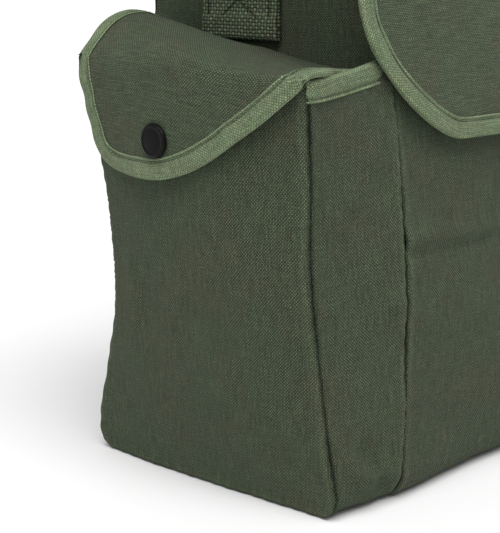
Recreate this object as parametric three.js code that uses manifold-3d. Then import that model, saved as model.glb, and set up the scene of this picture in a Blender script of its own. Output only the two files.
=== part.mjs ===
// A canvas haversack. One long piece of canvas makes the front, base and back, and two end panels close
// it. A bound flap is sewn to the back and falls over the front. Each end carries a gusseted side pocket
// with a bound mouth and a bound flap that closes with a snap, and a webbing strap is sewn to both ends.
// Frame: the origin is the middle of the base, +X runs along the width, +Y to the back, +Z up. Millimetres.
import * as THREE from "three";
import Module from "manifold-3d";
import { mergeVertices } from "three/addons/utils/BufferGeometryUtils.js";

// Cloth and sewing
const canvas = 1.8;
const tape = 1;
const tapeWidth = 8.5;
const seamGap = 0.3;
const tapeSlack = 0.5;

// Main bag
const bodyWidth = 380;
const bodyHeight = 280;
const baseDepth = 176;
const baseRadius = 14;
const frontBulge = 8;
const backBulge = 4;
const endPanelHeight = 270;

// Main flap
const flapOverhang = 20;
const flapShoulderDrop = 26;
const flapDrop = 109;
const flapCornerWidth = 60;
const flapCornerHeight = 60;
const flapCornerRoundness = 1.6;
const flapLap = 20;
const flapStandoff = 6;
const flapCrown = 11;

// Side pockets
const pocketHeight = 203;
const pocketReach = 62;
const pocketBulge = 13;
const pocketRadius = 11;
const mouthRise = 7;

// Pocket flaps
const pocketFlapShoulder = pocketHeight + 3;
const pocketFlapDrop = 51.5;
const pocketFlapStandoff = 5;
const pocketFlapCentre = 5;

// Snaps
const snapDiameter = 16.4;
const snapThickness = 2.6;
const postDiameter = 5;
const snapAboveEdge = 18.5;
const pocketSnapForward = 3.5;

// Shoulder strap
const strapWidth = 50;
const strapThickness = 3;
const strapSewnFrom = 216;
const strapSewnLength = 46;
const strapCentre = 14;
const strapClearance = 1.5;
const strapLift = 16;

const halfWidth = bodyWidth / 2;
const halfDepth = baseDepth / 2;
const { lerp, clamp, degToRad } = THREE.MathUtils;
const wasm = await Module();
wasm.setup();

// Sections of the main bag: the height as a share of bodyHeight, and how far the front and the back lie
// from the middle as shares of half the base depth.
const bodySections = [
  { at: 0.0, front: 0.985, back: 0.93 },
  { at: 0.06, front: 1.0, back: 0.945 },
  { at: 0.17, front: 1.015, back: 0.96 },
  { at: 0.3, front: 1.01, back: 0.96 },
  { at: 0.43, front: 0.985, back: 0.95 },
  { at: 0.56, front: 0.945, back: 0.935 },
  { at: 0.71, front: 0.875, back: 0.905 },
  { at: 0.84, front: 0.775, back: 0.87 },
  { at: 1.0, front: 0.64, back: 0.83 },
];

// Sections of a side pocket: the height as a share of pocketHeight, the reaches of the two outer seams as
// shares of pocketReach, and how far these seams lie from the middle as shares of half the base depth.
const pocketSections = [
  { at: 0.0, frontReach: 0.63, backReach: 0.64, front: 0.945, back: 0.93 },
  { at: 0.13, frontReach: 0.7, backReach: 0.7, front: 0.925, back: 0.88 },
  { at: 0.26, frontReach: 0.77, backReach: 0.75, front: 0.905, back: 0.78 },
  { at: 0.42, frontReach: 0.82, backReach: 0.77, front: 0.885, back: 0.71 },
  { at: 0.6, frontReach: 0.88, backReach: 0.78, front: 0.875, back: 0.7 },
  { at: 0.8, frontReach: 0.9, backReach: 0.81, front: 0.88, back: 0.73 },
  { at: 1.0, frontReach: 0.94, backReach: 0.85, front: 0.885, back: 0.77 },
];

// Pocket flap at its front and back edge: the half width at the seam and at the shoulder as shares of half
// the base depth, the rises of the seam and of the dome over the pocket as shares of pocketReach, how square
// the dome's shoulder is, how far out the dome stays level, and how full the lower corner is.
const pocketFlapSides = {
  front: { seam: 0.81, shoulder: 0.98, seamRise: 0.07, domeRise: 0.095, square: 2.0, reach: 0.75, roundness: 1.7 },
  back: { seam: 0.69, shoulder: 0.66, seamRise: 0.15, domeRise: 0.34, square: 1.0, reach: 0.5, roundness: 7 },
};

// A smooth value of one column of a table between its rows.
function fromTable(rows, at, column) {
  const last = rows.length - 1;
  let i = 0;
  while (i < last - 1 && rows[i + 1].at < at) i += 1;
  const [a, b] = [rows[i], rows[i + 1]];
  const [before, after] = [rows[Math.max(i - 1, 0)], rows[Math.min(i + 2, last)]];
  const span = b.at - a.at;
  const slopeA = ((b[column] - before[column]) / (b.at - before.at)) * span;
  const slopeB = ((after[column] - a[column]) / (after.at - a.at)) * span;
  const t = clamp((at - a.at) / span, 0, 1);
  return (
    (2 * t ** 3 - 3 * t ** 2 + 1) * a[column] +
    (t ** 3 - 2 * t ** 2 + t) * slopeA +
    (3 * t ** 2 - 2 * t ** 3) * b[column] +
    (t ** 3 - t ** 2) * slopeB
  );
}

function evenly(from, to, steps) {
  return Array.from({ length: steps + 1 }, (_, i) => lerp(from, to, i / steps));
}

// A closed mesh from vertices and triangles, turned round if it came out inside out.
function closedGeometry(points, triangles) {
  let volume = 0;
  for (const [a, b, c] of triangles) volume += points[a].dot(points[b].clone().cross(points[c]));
  const facing = volume < 0 ? triangles.map(([a, b, c]) => [a, c, b]) : triangles;
  const places = points.flatMap((p) => p.toArray());
  const geometry = new THREE.BufferGeometry();
  geometry.setAttribute("position", new THREE.Float32BufferAttribute(places, 3));
  geometry.setIndex(facing.flat());
  return geometry;
}

// Mean normal of a grid of points at one of its points.
function gridNormal(grid, i, j) {
  const row = (k) => grid[clamp(k, 0, grid.length - 1)];
  const along = row(i + 1)[j].clone().sub(row(i - 1)[j]);
  const across = grid[i][Math.min(j + 1, grid[i].length - 1)].clone().sub(grid[i][Math.max(j - 1, 0)]);
  return along.cross(across).normalize();
}

// A cloth wall between two offsets of a grid of points, with a flat rim. inPlane keeps the offsets square
// to the X axis.
function clothWall(grid, offsetNear, offsetFar, inPlane = false) {
  const rows = grid.length;
  const columns = grid[0].length;
  const normals = grid.map((line, i) =>
    line.map((_, j) => {
      const normal = gridNormal(grid, i, j);
      return inPlane ? normal.setX(0).normalize() : normal;
    }),
  );
  const moved = (offset) => (p, i, j) => p.clone().addScaledVector(normals[i][j], offset);
  const face = (offset) => grid.flatMap((line, i) => line.map((p, j) => moved(offset)(p, i, j)));
  const points = [...face(offsetNear), ...face(offsetFar)];
  const near = (i, j) => i * columns + j;
  const far = (i, j) => rows * columns + near(i, j);
  const triangles = [];
  const quad = (a, b, c, d) => triangles.push([a, b, c], [a, c, d]);
  for (let i = 0; i < rows - 1; i += 1)
    for (let j = 0; j < columns - 1; j += 1) {
      quad(near(i, j), near(i + 1, j), near(i + 1, j + 1), near(i, j + 1));
      quad(far(i, j), far(i, j + 1), far(i + 1, j + 1), far(i + 1, j));
    }
  for (let i = 0; i < rows - 1; i += 1) {
    quad(near(i, 0), far(i, 0), far(i + 1, 0), near(i + 1, 0));
    quad(near(i, columns - 1), near(i + 1, columns - 1), far(i + 1, columns - 1), far(i, columns - 1));
  }
  for (let j = 0; j < columns - 1; j += 1) {
    quad(near(0, j), near(0, j + 1), far(0, j + 1), far(0, j));
    quad(near(rows - 1, j), far(rows - 1, j), far(rows - 1, j + 1), near(rows - 1, j + 1));
  }
  return closedGeometry(points, triangles);
}

// A solid through loops of points, one loop for each station, with a cap at both ends. capTriangles are
// the cap's triangles as indices into a loop.
function sweptSolid(loops, capTriangles) {
  const size = loops[0].length;
  const points = loops.flat();
  const triangles = [];
  for (let i = 0; i < loops.length - 1; i += 1)
    for (let j = 0; j < size; j += 1) {
      const [a, b] = [i * size + j, i * size + ((j + 1) % size)];
      triangles.push([a, b, b + size], [a, b + size, a + size]);
    }
  const end = (loops.length - 1) * size;
  for (const [a, b, c] of capTriangles) triangles.push([a, c, b], [end + a, end + b, end + c]);
  return closedGeometry(points, triangles);
}

// Main bag: outlines of its section at a height.
const bulgeAcross = (x) => 1 - clamp(x / halfWidth, -1, 1) ** 2;
const bulgeUp = (z) => Math.sin(Math.PI * clamp(z / bodyHeight, 0, 1));
const sectionShare = (z, side) => fromTable(bodySections, clamp(z / bodyHeight, 0, 1), side);
const bulge = (x, z) => bulgeAcross(x) * bulgeUp(z);
const bodyFront = (x, z) => -halfDepth * sectionShare(z, "front") - frontBulge * bulge(x, z);
const bodyBack = (x, z) => halfDepth * sectionShare(z, "back") + backBulge * bulge(x, z);

// Depth that a rounded lower corner takes off a side at a height.
const roundedOff = (z, radius) => (z >= radius ? 0 : radius - Math.sqrt(radius ** 2 - (radius - z) ** 2));

// Stations down the front, round the lower corners, along the base and up the back. Rows lie closer at
// the top.
const sideShares = [1, 0.94, 0.85, 0.74, 0.62, 0.5, 0.37, 0.24, 0.12, 0];
function wrapStations(topHeight, radius, baseSteps) {
  const heights = sideShares.map((share) => lerp(radius, topHeight, share));
  const arc = evenly(0, 90, 4).slice(1, -1);
  const half = (side) => [
    ...heights.map((z) => ({ side, z })),
    ...arc.map((angle) => ({ side, angle: degToRad(angle) })),
  ];
  const base = evenly(0, 1, baseSteps).map((share) => ({ side: "base", share }));
  return [...half("front"), ...base, ...half("back").reverse()];
}

// The point of a station on an outline given by its two sides.
function wrapPoint(station, x, radius, frontAt, backAt) {
  const sideAt = station.side === "back" ? backAt : frontAt;
  const inward = station.side === "back" ? -1 : 1;
  if (station.side === "base") {
    const from = frontAt(radius) + radius;
    const to = backAt(radius) - radius;
    return new THREE.Vector3(x, lerp(from, to, station.share), 0);
  }
  if (station.angle === undefined) return new THREE.Vector3(x, sideAt(station.z), station.z);
  const y = sideAt(radius) + inward * radius * (1 - Math.cos(station.angle));
  return new THREE.Vector3(x, y, radius * (1 - Math.sin(station.angle)));
}

function bodyPanel() {
  const stations = wrapStations(bodyHeight, baseRadius, 3);
  const edge = halfWidth - canvas - seamGap;
  const across = evenly(-edge, edge, 8);
  const pointAt = (station, x) => {
    const frontAt = (z) => bodyFront(x, z);
    const backAt = (z) => bodyBack(x, z);
    return wrapPoint(station, x, baseRadius, frontAt, backAt);
  };
  const grid = stations.map((station) => across.map((x) => pointAt(station, x)));
  return clothWall(grid, 0, -canvas);
}

// A panel that closes the end of a wrap: rows of points between its front and back outline.
function panelGrid(heights, columns, frontAt, backAt, xAt) {
  const pointAt = (share, z) => new THREE.Vector3(xAt(share, z), lerp(frontAt(z), backAt(z), share), z);
  return heights.map((z) => evenly(0, 1, columns).map((share) => pointAt(share, z)));
}

function roundedHeights(radius, topHeight, steps) {
  const arc = evenly(0, 90, 4).map((angle) => radius * (1 - Math.cos(degToRad(angle))));
  return [...arc, ...evenly(radius, topHeight, steps).slice(1)];
}

function endPanel(sign) {
  const frontAt = (z) => bodyFront(halfWidth, z) + roundedOff(z, baseRadius);
  const backAt = (z) => bodyBack(halfWidth, z) - roundedOff(z, baseRadius);
  const heights = roundedHeights(baseRadius, endPanelHeight, 8);
  const grid = panelGrid(heights, 6, frontAt, backAt, () => sign * halfWidth);
  return clothWall(grid, 0, sign * canvas);
}

// Side pocket, drawn for the left end. Its seams and its outer face.
const pocketShare = (z, column) => fromTable(pocketSections, clamp(z / pocketHeight, 0, 1), column);
const pocketFront = (z) => -halfDepth * pocketShare(z, "front");
const pocketBack = (z) => halfDepth * pocketShare(z, "back");
const seamX = (share, z) =>
  -halfWidth - pocketReach * lerp(pocketShare(z, "frontReach"), pocketShare(z, "backReach"), share);
const faceShare = (y, z) => clamp((y - pocketFront(z)) / (pocketBack(z) - pocketFront(z)), 0, 1);
const faceFullness = (share, z) =>
  4 * share * (1 - share) * Math.sin(Math.PI * clamp(0.06 + (0.66 * z) / pocketHeight, 0, 1));
const faceX = (share, z) => seamX(share, z) - seamGap - canvas - pocketBulge * faceFullness(share, z);

// How far the gusset's top edge rises towards the bag.
const gussetRise = (across) => mouthRise * (1 - across) ** 1.5;

function pocketGusset() {
  const stations = wrapStations(1, 0, 4);
  const acrossSteps = evenly(0, 1, 3);
  const pointAt = (station, across) => {
    const radius = lerp(baseRadius, pocketRadius, across);
    const top = pocketHeight + gussetRise(across);
    const placed = station.z === undefined ? station : { ...station, z: lerp(radius, top, station.z) };
    const frontAt = (z) => lerp(bodyFront(halfWidth, z), pocketFront(z), across);
    const backAt = (z) => lerp(bodyBack(halfWidth, z), pocketBack(z), across);
    const point = wrapPoint(placed, 0, radius, frontAt, backAt);
    const share = station.side === "base" ? station.share : Number(station.side === "back");
    return point.setX(lerp(-halfWidth - seamGap, seamX(share, point.z), across));
  };
  const grid = stations.map((station) => acrossSteps.map((across) => pointAt(station, across)));
  return clothWall(grid, 0, canvas, true);
}

const faceColumns = 8;
const mouthTop = pocketHeight - seamGap;

function pocketFace() {
  const frontAt = (z) => pocketFront(z) + roundedOff(z, pocketRadius);
  const backAt = (z) => pocketBack(z) - roundedOff(z, pocketRadius);
  const heights = roundedHeights(pocketRadius, mouthTop, 8);
  const grid = panelGrid(heights, faceColumns, frontAt, backAt, faceX);
  return clothWall(grid, 0, -canvas);
}

// Middle of the wall round the pocket's mouth at a depth below it, seen from above: front gusset, face,
// back gusset.
function mouthLine(depth) {
  const z = mouthTop - depth;
  const gusset = (across, sideOfBag, sideOfPocket, inward) => {
    const rise = gussetRise(across);
    const y = lerp(sideOfBag(halfWidth, z + rise), sideOfPocket(z + rise), across) + (inward * canvas) / 2;
    const share = Number(inward < 0);
    return new THREE.Vector3(lerp(-halfWidth - seamGap, seamX(share, z), across), y, rise);
  };
  const acrossSteps = [0.02, 1 / 3, 2 / 3];
  const front = acrossSteps.map((across) => gusset(across, bodyFront, pocketFront, 1));
  const back = acrossSteps.map((across) => gusset(across, bodyBack, pocketBack, -1)).reverse();
  const face = evenly(0, 1, faceColumns).map((share) => {
    const y = lerp(pocketFront(z) + canvas / 2, pocketBack(z) - canvas / 2, share);
    return new THREE.Vector3(faceX(share, z) + canvas / 2, y, 0);
  });
  return [...front, ...face, ...back];
}

// Outward directions of a line seen from above, longer at a corner so that the walls beside it stay
// parallel.
function mitres(line) {
  const flat = line.map((p) => new THREE.Vector2(p.x, p.y));
  const sideways = (from, to) => new THREE.Vector2(from.y - to.y, to.x - from.x).normalize();
  return flat.map((p, i) => {
    const before = i > 0 ? sideways(flat[i - 1], p) : sideways(p, flat[i + 1]);
    const after = i < flat.length - 1 ? sideways(p, flat[i + 1]) : before;
    const middle = before.clone().add(after).normalize();
    return middle.divideScalar(middle.dot(before));
  });
}

const slotHalf = canvas / 2 + tapeSlack;
const tapeHalf = slotHalf + tape;

// Tape folded over the pocket's mouth: a channel that holds the top edges of the gusset and the face.
function mouthBinding() {
  const levels = [0, tapeWidth].map((depth) => ({ depth, line: mouthLine(depth) }));
  const outward = levels.map((level) => mitres(level.line));
  const loops = levels[0].line.map((_, i) => {
    const corner = (level, offset, z) => {
      const p = levels[level].line[i];
      const out = outward[level][i];
      return new THREE.Vector3(p.x + out.x * offset, p.y + out.y * offset, z + p.z);
    };
    const [rim, lip, hem] = [mouthTop + tapeSlack, mouthTop + tapeSlack + tape, mouthTop - tapeWidth];
    return [
      corner(1, tapeHalf, hem),
      corner(0, tapeHalf, lip),
      corner(0, -tapeHalf, lip),
      corner(1, -tapeHalf, hem),
      corner(1, -slotHalf, hem),
      corner(0, -slotHalf, rim),
      corner(0, slotHalf, rim),
      corner(1, slotHalf, hem),
    ];
  });
  return sweptSolid(loops, channelCap(loops[0].length));
}

// Cap triangles of a channel section: its outer points come first, then its inner ones the other way round.
function channelCap(size) {
  const half = size / 2;
  const triangles = [];
  for (let i = 0; i < half - 1; i += 1) {
    const [a, b] = [i, i + 1];
    const [c, d] = [size - 2 - i, size - 1 - i];
    triangles.push([a, b, c], [a, c, d]);
  }
  return triangles;
}

// Pocket flap. (across, down): across runs from -1 at the front edge to 1 at the back edge, and down from 0
// at the seam over the dome to 1 at the shoulder, and on down the pocket's face to 2 at the lowest point.
const eased = (share) => THREE.MathUtils.smoothstep(share, 0, 1);
const flapSide = (across) => (across < 0 ? pocketFlapSides.front : pocketFlapSides.back);
const flapShare = (across, column) =>
  lerp(pocketFlapSides.front[column], pocketFlapSides.back[column], eased((across + 1) / 2));

function pocketFlapY(across, down) {
  const own = flapSide(across);
  return pocketFlapCentre + across * halfDepth * lerp(own.seam, own.shoulder, eased(down));
}

function pocketFlapPoint(across, down) {
  const y = pocketFlapY(across, down);
  const z = pocketFlapShoulder - Math.max(down - 1, 0) * pocketFlapDrop;
  const faceAt = (height) => faceX(faceShare(y, height), height) - pocketFlapStandoff;
  if (down >= 1) return new THREE.Vector3(faceAt(z), y, z);
  const seam = -halfWidth - seamGap - canvas / 2;
  const shoulder = faceAt(pocketFlapShoulder);
  const seamHeight = pocketHeight + pocketReach * flapShare(across, "seamRise");
  const crown = pocketHeight + pocketReach * flapShare(across, "domeRise");
  // The outer handle is set first, and the inner one so that the curve passes the crown half way.
  const outer = lerp(pocketFlapShoulder, crown, flapShare(across, "square"));
  const inner = (crown - (seamHeight + pocketFlapShoulder) / 8) / 0.375 - outer;
  const curve = new THREE.CubicBezierCurve(
    new THREE.Vector2(seam, seamHeight),
    new THREE.Vector2(lerp(seam, shoulder, flapShare(across, "reach")), inner),
    new THREE.Vector2(shoulder, outer),
    new THREE.Vector2(shoulder, pocketFlapShoulder),
  );
  const at = curve.getPoint(down);
  return new THREE.Vector3(at.x, y, at.y);
}

const pocketFlapEnd = (across) => 2 - Math.abs(across) ** flapSide(across).roundness;

// Main flap. (across, down): across runs from -1 at the left edge to 1 at the right, and down from 0 at the
// seam on the back over the top to 1 at the front shoulder, and on down the front to 2 at the lower edge.
const flapShoulder = bodyHeight - flapShoulderDrop;
const flapBottom = bodyHeight - flapDrop;
const flapHalfWidth = halfWidth + flapOverhang;

function mainFlapPoint(across, down) {
  const x = across * flapHalfWidth;
  const onFront = (z) => new THREE.Vector3(x, bodyFront(x, z) - flapStandoff, z);
  if (down >= 1) return onFront(lerp(flapShoulder, flapBottom, down - 1));
  const seamOnBack = (z) => new THREE.Vector3(x, bodyBack(x, z) + 2 * seamGap + canvas / 2, z);
  const crown = flapCrown * (0.8 + 0.2 * bulgeAcross(x));
  const onTop = (share, rise) => {
    const y = lerp(bodyBack(x, bodyHeight), bodyFront(x, bodyHeight), share);
    return new THREE.Vector3(x, y, bodyHeight + rise * crown);
  };
  const line = [
    seamOnBack(bodyHeight - flapLap),
    seamOnBack(bodyHeight - flapLap / 3),
    seamOnBack(bodyHeight).setZ(bodyHeight + 0.3 * crown),
    onTop(0.07, 0.85),
    onTop(0.35, 1),
    onTop(0.65, 1),
    onTop(0.9, 0.8),
    onFront(bodyHeight).setZ(bodyHeight + 0.25 * crown),
    onFront(lerp(flapShoulder, bodyHeight, 0.5)),
    onFront(flapShoulder),
    onFront(flapShoulder - flapShoulderDrop),
  ];
  return new THREE.CatmullRomCurve3(line).getPoint((down * (line.length - 2)) / (line.length - 1));
}

const cornerStart = 1 - flapCornerWidth / flapHalfWidth;
function mainFlapEnd(across) {
  const intoCorner = clamp((Math.abs(across) - cornerStart) / (1 - cornerStart), 0, 1);
  const uncut = (1 - intoCorner ** flapCornerRoundness) ** (1 / flapCornerRoundness);
  const rise = flapCornerHeight * (1 - uncut);
  return 2 - rise / (flapShoulder - flapBottom);
}

// Places across a flap, closer together where its lower corners are round.
function acrossFlap(cornerFrom, cornerSteps, middleSteps) {
  const corner = evenly(0, 90, cornerSteps).map((angle) => lerp(cornerFrom, 1, Math.sin(degToRad(angle))));
  const left = corner.map((across) => -across).reverse();
  return [...left, ...evenly(-cornerFrom, cornerFrom, middleSteps).slice(1, -1), ...corner];
}

// Steps down a flap at a place across it: the same over its top, then shares of the way to its free edge.
function downFlap(flap, across) {
  const from = flap.over.at(-1);
  return [...flap.over, ...flap.below.map((share) => lerp(from, flap.endAt(across), share))];
}

// A flap's sheet: a row of points down each place across it.
function flapSheet(flap) {
  const line = (across) => downFlap(flap, across).map((down) => flap.pointAt(across, down));
  const grid = flap.places.map(line);
  return clothWall(grid, -canvas / 2, canvas / 2);
}

// Position and directions of a surface at one place.
function surfaceFrame(pointAt, across, down) {
  const step = 1e-3;
  const above = Math.max(down - step, 0);
  const byAcross = pointAt(across + step, down).sub(pointAt(across - step, down)).divideScalar(2 * step);
  const byDown = pointAt(across, down + step).sub(pointAt(across, above)).divideScalar(down + step - above);
  const normal = byAcross.clone().cross(byDown).normalize();
  return { point: pointAt(across, down), byAcross, byDown, normal };
}

// The place reached by going a distance over a surface in a direction, in a few short steps.
function walkOver(pointAt, place, direction, distance) {
  const steps = 4;
  let { across, down } = place;
  for (let i = 0; i < steps; i += 1) {
    const { byAcross, byDown } = surfaceFrame(pointAt, across, down);
    const [aa, ad, dd] = [byAcross.dot(byAcross), byAcross.dot(byDown), byDown.dot(byDown)];
    const [a, d] = [byAcross.dot(direction), byDown.dot(direction)];
    const scale = distance / steps / (aa * dd - ad * ad);
    across += (a * dd - d * ad) * scale;
    down = Math.max(down + (d * aa - a * ad) * scale, 0);
  }
  return { across, down };
}

// The free edge of a flap, from where its tape starts down one side, round and up the other.
function flapOutline(flap) {
  const taped = (across, down) => ({ across, down: Math.max(down, flap.tapeFrom) });
  const side = (across) => downFlap(flap, across).map((down) => taped(across, down));
  const round = flap.places.slice(1, -1).map((across) => ({ across, down: flap.endAt(across) }));
  return [...side(-1), ...round, ...side(1).reverse()];
}

// Tape folded over a flap's edge: a channel that follows the sheet for the tape's width.
function flapBinding(flap) {
  const { pointAt } = flap;
  const outline = flapOutline(flap);
  const frames = outline.map((place) => surfaceFrame(pointAt, place.across, place.down));
  const loops = outline.map((place, i) => {
    const { point, normal } = frames[i];
    const before = frames[Math.max(i - 1, 0)].point;
    const after = frames[Math.min(i + 1, frames.length - 1)].point;
    const along = after.clone().sub(before).normalize();
    const inward = along.clone().cross(normal).normalize();
    const offEdge = (distance, offset) =>
      point.clone().addScaledVector(inward, -distance).addScaledVector(normal, offset);
    const onSheet = (distance, offset) => {
      const there = walkOver(pointAt, place, inward, distance);
      const frame = surfaceFrame(pointAt, there.across, there.down);
      return frame.point.addScaledVector(frame.normal, offset);
    };
    const [middle, inner] = [tapeWidth / 2, tapeWidth];
    const outerLip = tapeSlack + tape;
    return [
      onSheet(inner, tapeHalf),
      onSheet(middle, tapeHalf),
      offEdge(outerLip, tapeHalf),
      offEdge(outerLip, -tapeHalf),
      onSheet(middle, -tapeHalf),
      onSheet(inner, -tapeHalf),
      onSheet(inner, -slotHalf),
      onSheet(middle, -slotHalf),
      offEdge(tapeSlack, -slotHalf),
      offEdge(tapeSlack, slotHalf),
      onSheet(middle, slotHalf),
      onSheet(inner, slotHalf),
    ];
  });
  return sweptSolid(loops, channelCap(loops[0].length));
}

const asSolid = (geometry) => {
  const bare = geometry.clone();
  bare.deleteAttribute("normal");
  bare.deleteAttribute("uv");
  const merged = mergeVertices(bare, 1e-4);
  const vertProperties = merged.attributes.position.array;
  const triVerts = new Uint32Array(merged.index.array);
  return new wasm.Manifold(new wasm.Mesh({ numProp: 3, vertProperties, triVerts }));
};

function asGeometry(solid) {
  const mesh = solid.getMesh();
  const geometry = new THREE.BufferGeometry();
  geometry.setAttribute("position", new THREE.BufferAttribute(mesh.vertProperties, 3));
  geometry.setIndex(new THREE.BufferAttribute(mesh.triVerts, 1));
  return geometry;
}

// A snap: a low domed cap over the flap, and a post through it that ends on the cloth behind.
function snap(postLength) {
  const rim = snapDiameter / 2;
  const profile = [
    [0, -postLength],
    [postDiameter / 2, -postLength],
    [postDiameter / 2, seamGap],
    [rim - 0.6, seamGap],
    [rim, seamGap + 0.7],
    [rim - 0.5, seamGap + snapThickness * 0.7],
    [rim - 1.8, seamGap + snapThickness * 0.95],
    [0, seamGap + snapThickness],
  ];
  return new THREE.LatheGeometry(profile.map(([r, y]) => new THREE.Vector2(r, y)), 16);
}

// Turns a snap's own axis to the flap's outward normal and sets it on the flap's outer face.
function seatSnap(pointAt, place, outwardSign) {
  const { point, normal } = surfaceFrame(pointAt, place.across, place.down);
  const out = normal.multiplyScalar(outwardSign);
  const turn = new THREE.Quaternion().setFromUnitVectors(new THREE.Vector3(0, 1, 0), out);
  const seat = point.addScaledVector(out, canvas / 2);
  return new THREE.Matrix4().compose(seat, turn, new THREE.Vector3(1, 1, 1));
}

function withSnapHole(sheet, seat) {
  const holeRadius = postDiameter / 2 + seamGap;
  const hole = new THREE.CylinderGeometry(holeRadius, holeRadius, canvas * 6, 20);
  return asGeometry(asSolid(sheet).subtract(asSolid(hole.applyMatrix4(seat))));
}

// Shoulder strap, right half: its sewn end, then the way it falls behind the bag when it is put down.
// out, back and height are shares of half the width, half the base depth and the height of the main bag,
// and turn is the angle of the strap's width from the depth direction, in degrees.
const strapFall = [
  { out: 1.125, back: 0.24, height: 1.13, turn: 26 },
  { out: 1.135, back: 0.46, height: 1.2, turn: 56 },
  { out: 1.105, back: 0.78, height: 1.235, turn: 78 },
  { out: 1.04, back: 1.11, height: 1.2, turn: 80 },
  { out: 0.9, back: 1.33, height: 1.09, turn: 62 },
  { out: 0.73, back: 1.37, height: 0.94, turn: 36 },
  { out: 0.61, back: 1.33, height: 0.76, turn: 13 },
  { out: 0.51, back: 1.31, height: 0.56, turn: 2 },
  { out: 0.4, back: 1.31, height: 0.36, turn: 0 },
  { out: 0.24, back: 1.31, height: 0.2, turn: 0 },
];

function strapHalf() {
  const onPanel = halfWidth + seamGap + strapThickness / 2;
  const pastFlap = flapHalfWidth + tapeSlack + tape + strapThickness / 2 + strapClearance;
  const sewnTop = strapSewnFrom + strapSewnLength;
  const stop = (x, y, z, turn) => ({ x, y, z, turn: degToRad(turn) });
  const sewn = [0, 0.4, 0.8, 1].map((share) =>
    stop(onPanel + share ** 4, strapCentre, lerp(strapSewnFrom, sewnTop, share), 0),
  );
  const leaving = [
    stop(lerp(onPanel, pastFlap, 0.55), strapCentre, lerp(sewnTop, bodyHeight, 0.6), 0),
    stop(pastFlap, strapCentre, bodyHeight + strapClearance, 2),
    stop(pastFlap + 2 * strapClearance, strapCentre + strapClearance, bodyHeight + strapLift, 9),
  ];
  const falling = strapFall.map((row) =>
    stop(row.out * halfWidth, row.back * halfDepth, row.height * bodyHeight, row.turn),
  );
  return [...sewn, ...leaving, ...falling];
}

function shoulderStrap() {
  const half = strapHalf();
  const lowest = half.at(-1);
  const middle = { x: 0, y: lowest.y, z: lowest.z * 0.68, turn: 0 };
  const right = [...half].reverse();
  const left = half.map((stop) => ({ ...stop, x: -stop.x, turn: -stop.turn }));
  const route = [...left, middle, ...right];
  const acrossAt = (stop) => new THREE.Vector3(Math.sin(stop.turn), Math.cos(stop.turn), 0);
  const line = new THREE.CatmullRomCurve3(route.map((stop) => new THREE.Vector3(stop.x, stop.y, stop.z)));
  const widths = new THREE.CatmullRomCurve3(route.map(acrossAt));
  const loops = evenly(0, 1, 2 * (route.length - 1)).map((t) => {
    const along = line.getTangent(t);
    const width = widths.getPoint(t);
    width.addScaledVector(along, -width.dot(along)).normalize();
    const through = along.clone().cross(width);
    const corner = (a, b) =>
      line
        .getPoint(t)
        .addScaledVector(width, (a * strapWidth) / 2)
        .addScaledVector(through, (b * strapThickness) / 2);
    return [corner(-1, -1), corner(1, -1), corner(1, 1), corner(-1, 1)];
  });
  return sweptSolid(loops, [[0, 1, 2], [0, 2, 3]]);
}

// Finishes
const canvasCloth = new THREE.MeshStandardMaterial({ color: 0x474b38, roughness: 0.95, metalness: 0 });
const bindingTape = new THREE.MeshStandardMaterial({ color: 0x62795a, roughness: 0.9, metalness: 0 });
const strapWebbing = new THREE.MeshStandardMaterial({ color: 0x46553a, roughness: 0.95, metalness: 0 });
const blackSnap = new THREE.MeshStandardMaterial({ color: 0x1d1a1c, roughness: 0.45, metalness: 0.3 });

const haversack = new THREE.Group();

function addPiece(name, geometry, material, parent = haversack) {
  const mesh = new THREE.Mesh(geometry, material);
  mesh.name = name;
  parent.add(mesh);
}

addPiece("body_panel", bodyPanel(), canvasCloth);
addPiece("end_panel_left", endPanel(-1), canvasCloth);
addPiece("end_panel_right", endPanel(1), canvasCloth);

// Main flap with its binding and its one snap
const mainFlap = {
  pointAt: mainFlapPoint,
  endAt: mainFlapEnd,
  places: acrossFlap(cornerStart, 6, 4),
  over: [0, 0.12, 0.22, 0.31, 0.4, 0.5, 0.6, 0.69, 0.78, 0.89, 1],
  below: evenly(0, 1, 6).slice(1),
  tapeFrom: 0,
};
const mainSnapPlace = { across: 0, down: 2 - snapAboveEdge / (flapShoulder - flapBottom) };
const mainSnapSeat = seatSnap(mainFlapPoint, mainSnapPlace, -1);
addPiece("main_flap", withSnapHole(flapSheet(mainFlap), mainSnapSeat), canvasCloth);
addPiece("main_flap_binding", flapBinding(mainFlap), bindingTape);
addPiece("main_flap_snap", snap(flapStandoff + canvas / 2 - seamGap).applyMatrix4(mainSnapSeat), blackSnap);

// Side pockets: the right one is the left one mirrored.
const pocketFlap = {
  pointAt: pocketFlapPoint,
  endAt: pocketFlapEnd,
  places: acrossFlap(0.45, 6, 4),
  over: [0, 0.2, 0.4, 0.57, 0.7, 0.8, 0.9],
  below: evenly(0, 1, 6).slice(1),
  tapeFrom: 0.04,
};
const pocketSnapPlace = { across: -pocketSnapForward / halfDepth, down: 2 - snapAboveEdge / pocketFlapDrop };
const pocketSnapSeat = seatSnap(pocketFlapPoint, pocketSnapPlace, 1);
const pocketPieces = {
  pocket_gusset: [pocketGusset(), canvasCloth],
  pocket_face: [pocketFace(), canvasCloth],
  pocket_mouth_binding: [mouthBinding(), bindingTape],
  pocket_flap: [withSnapHole(flapSheet(pocketFlap), pocketSnapSeat), canvasCloth],
  pocket_flap_binding: [flapBinding(pocketFlap), bindingTape],
  pocket_snap: [snap(pocketFlapStandoff + canvas / 2 - seamGap).applyMatrix4(pocketSnapSeat), blackSnap],
};
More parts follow.
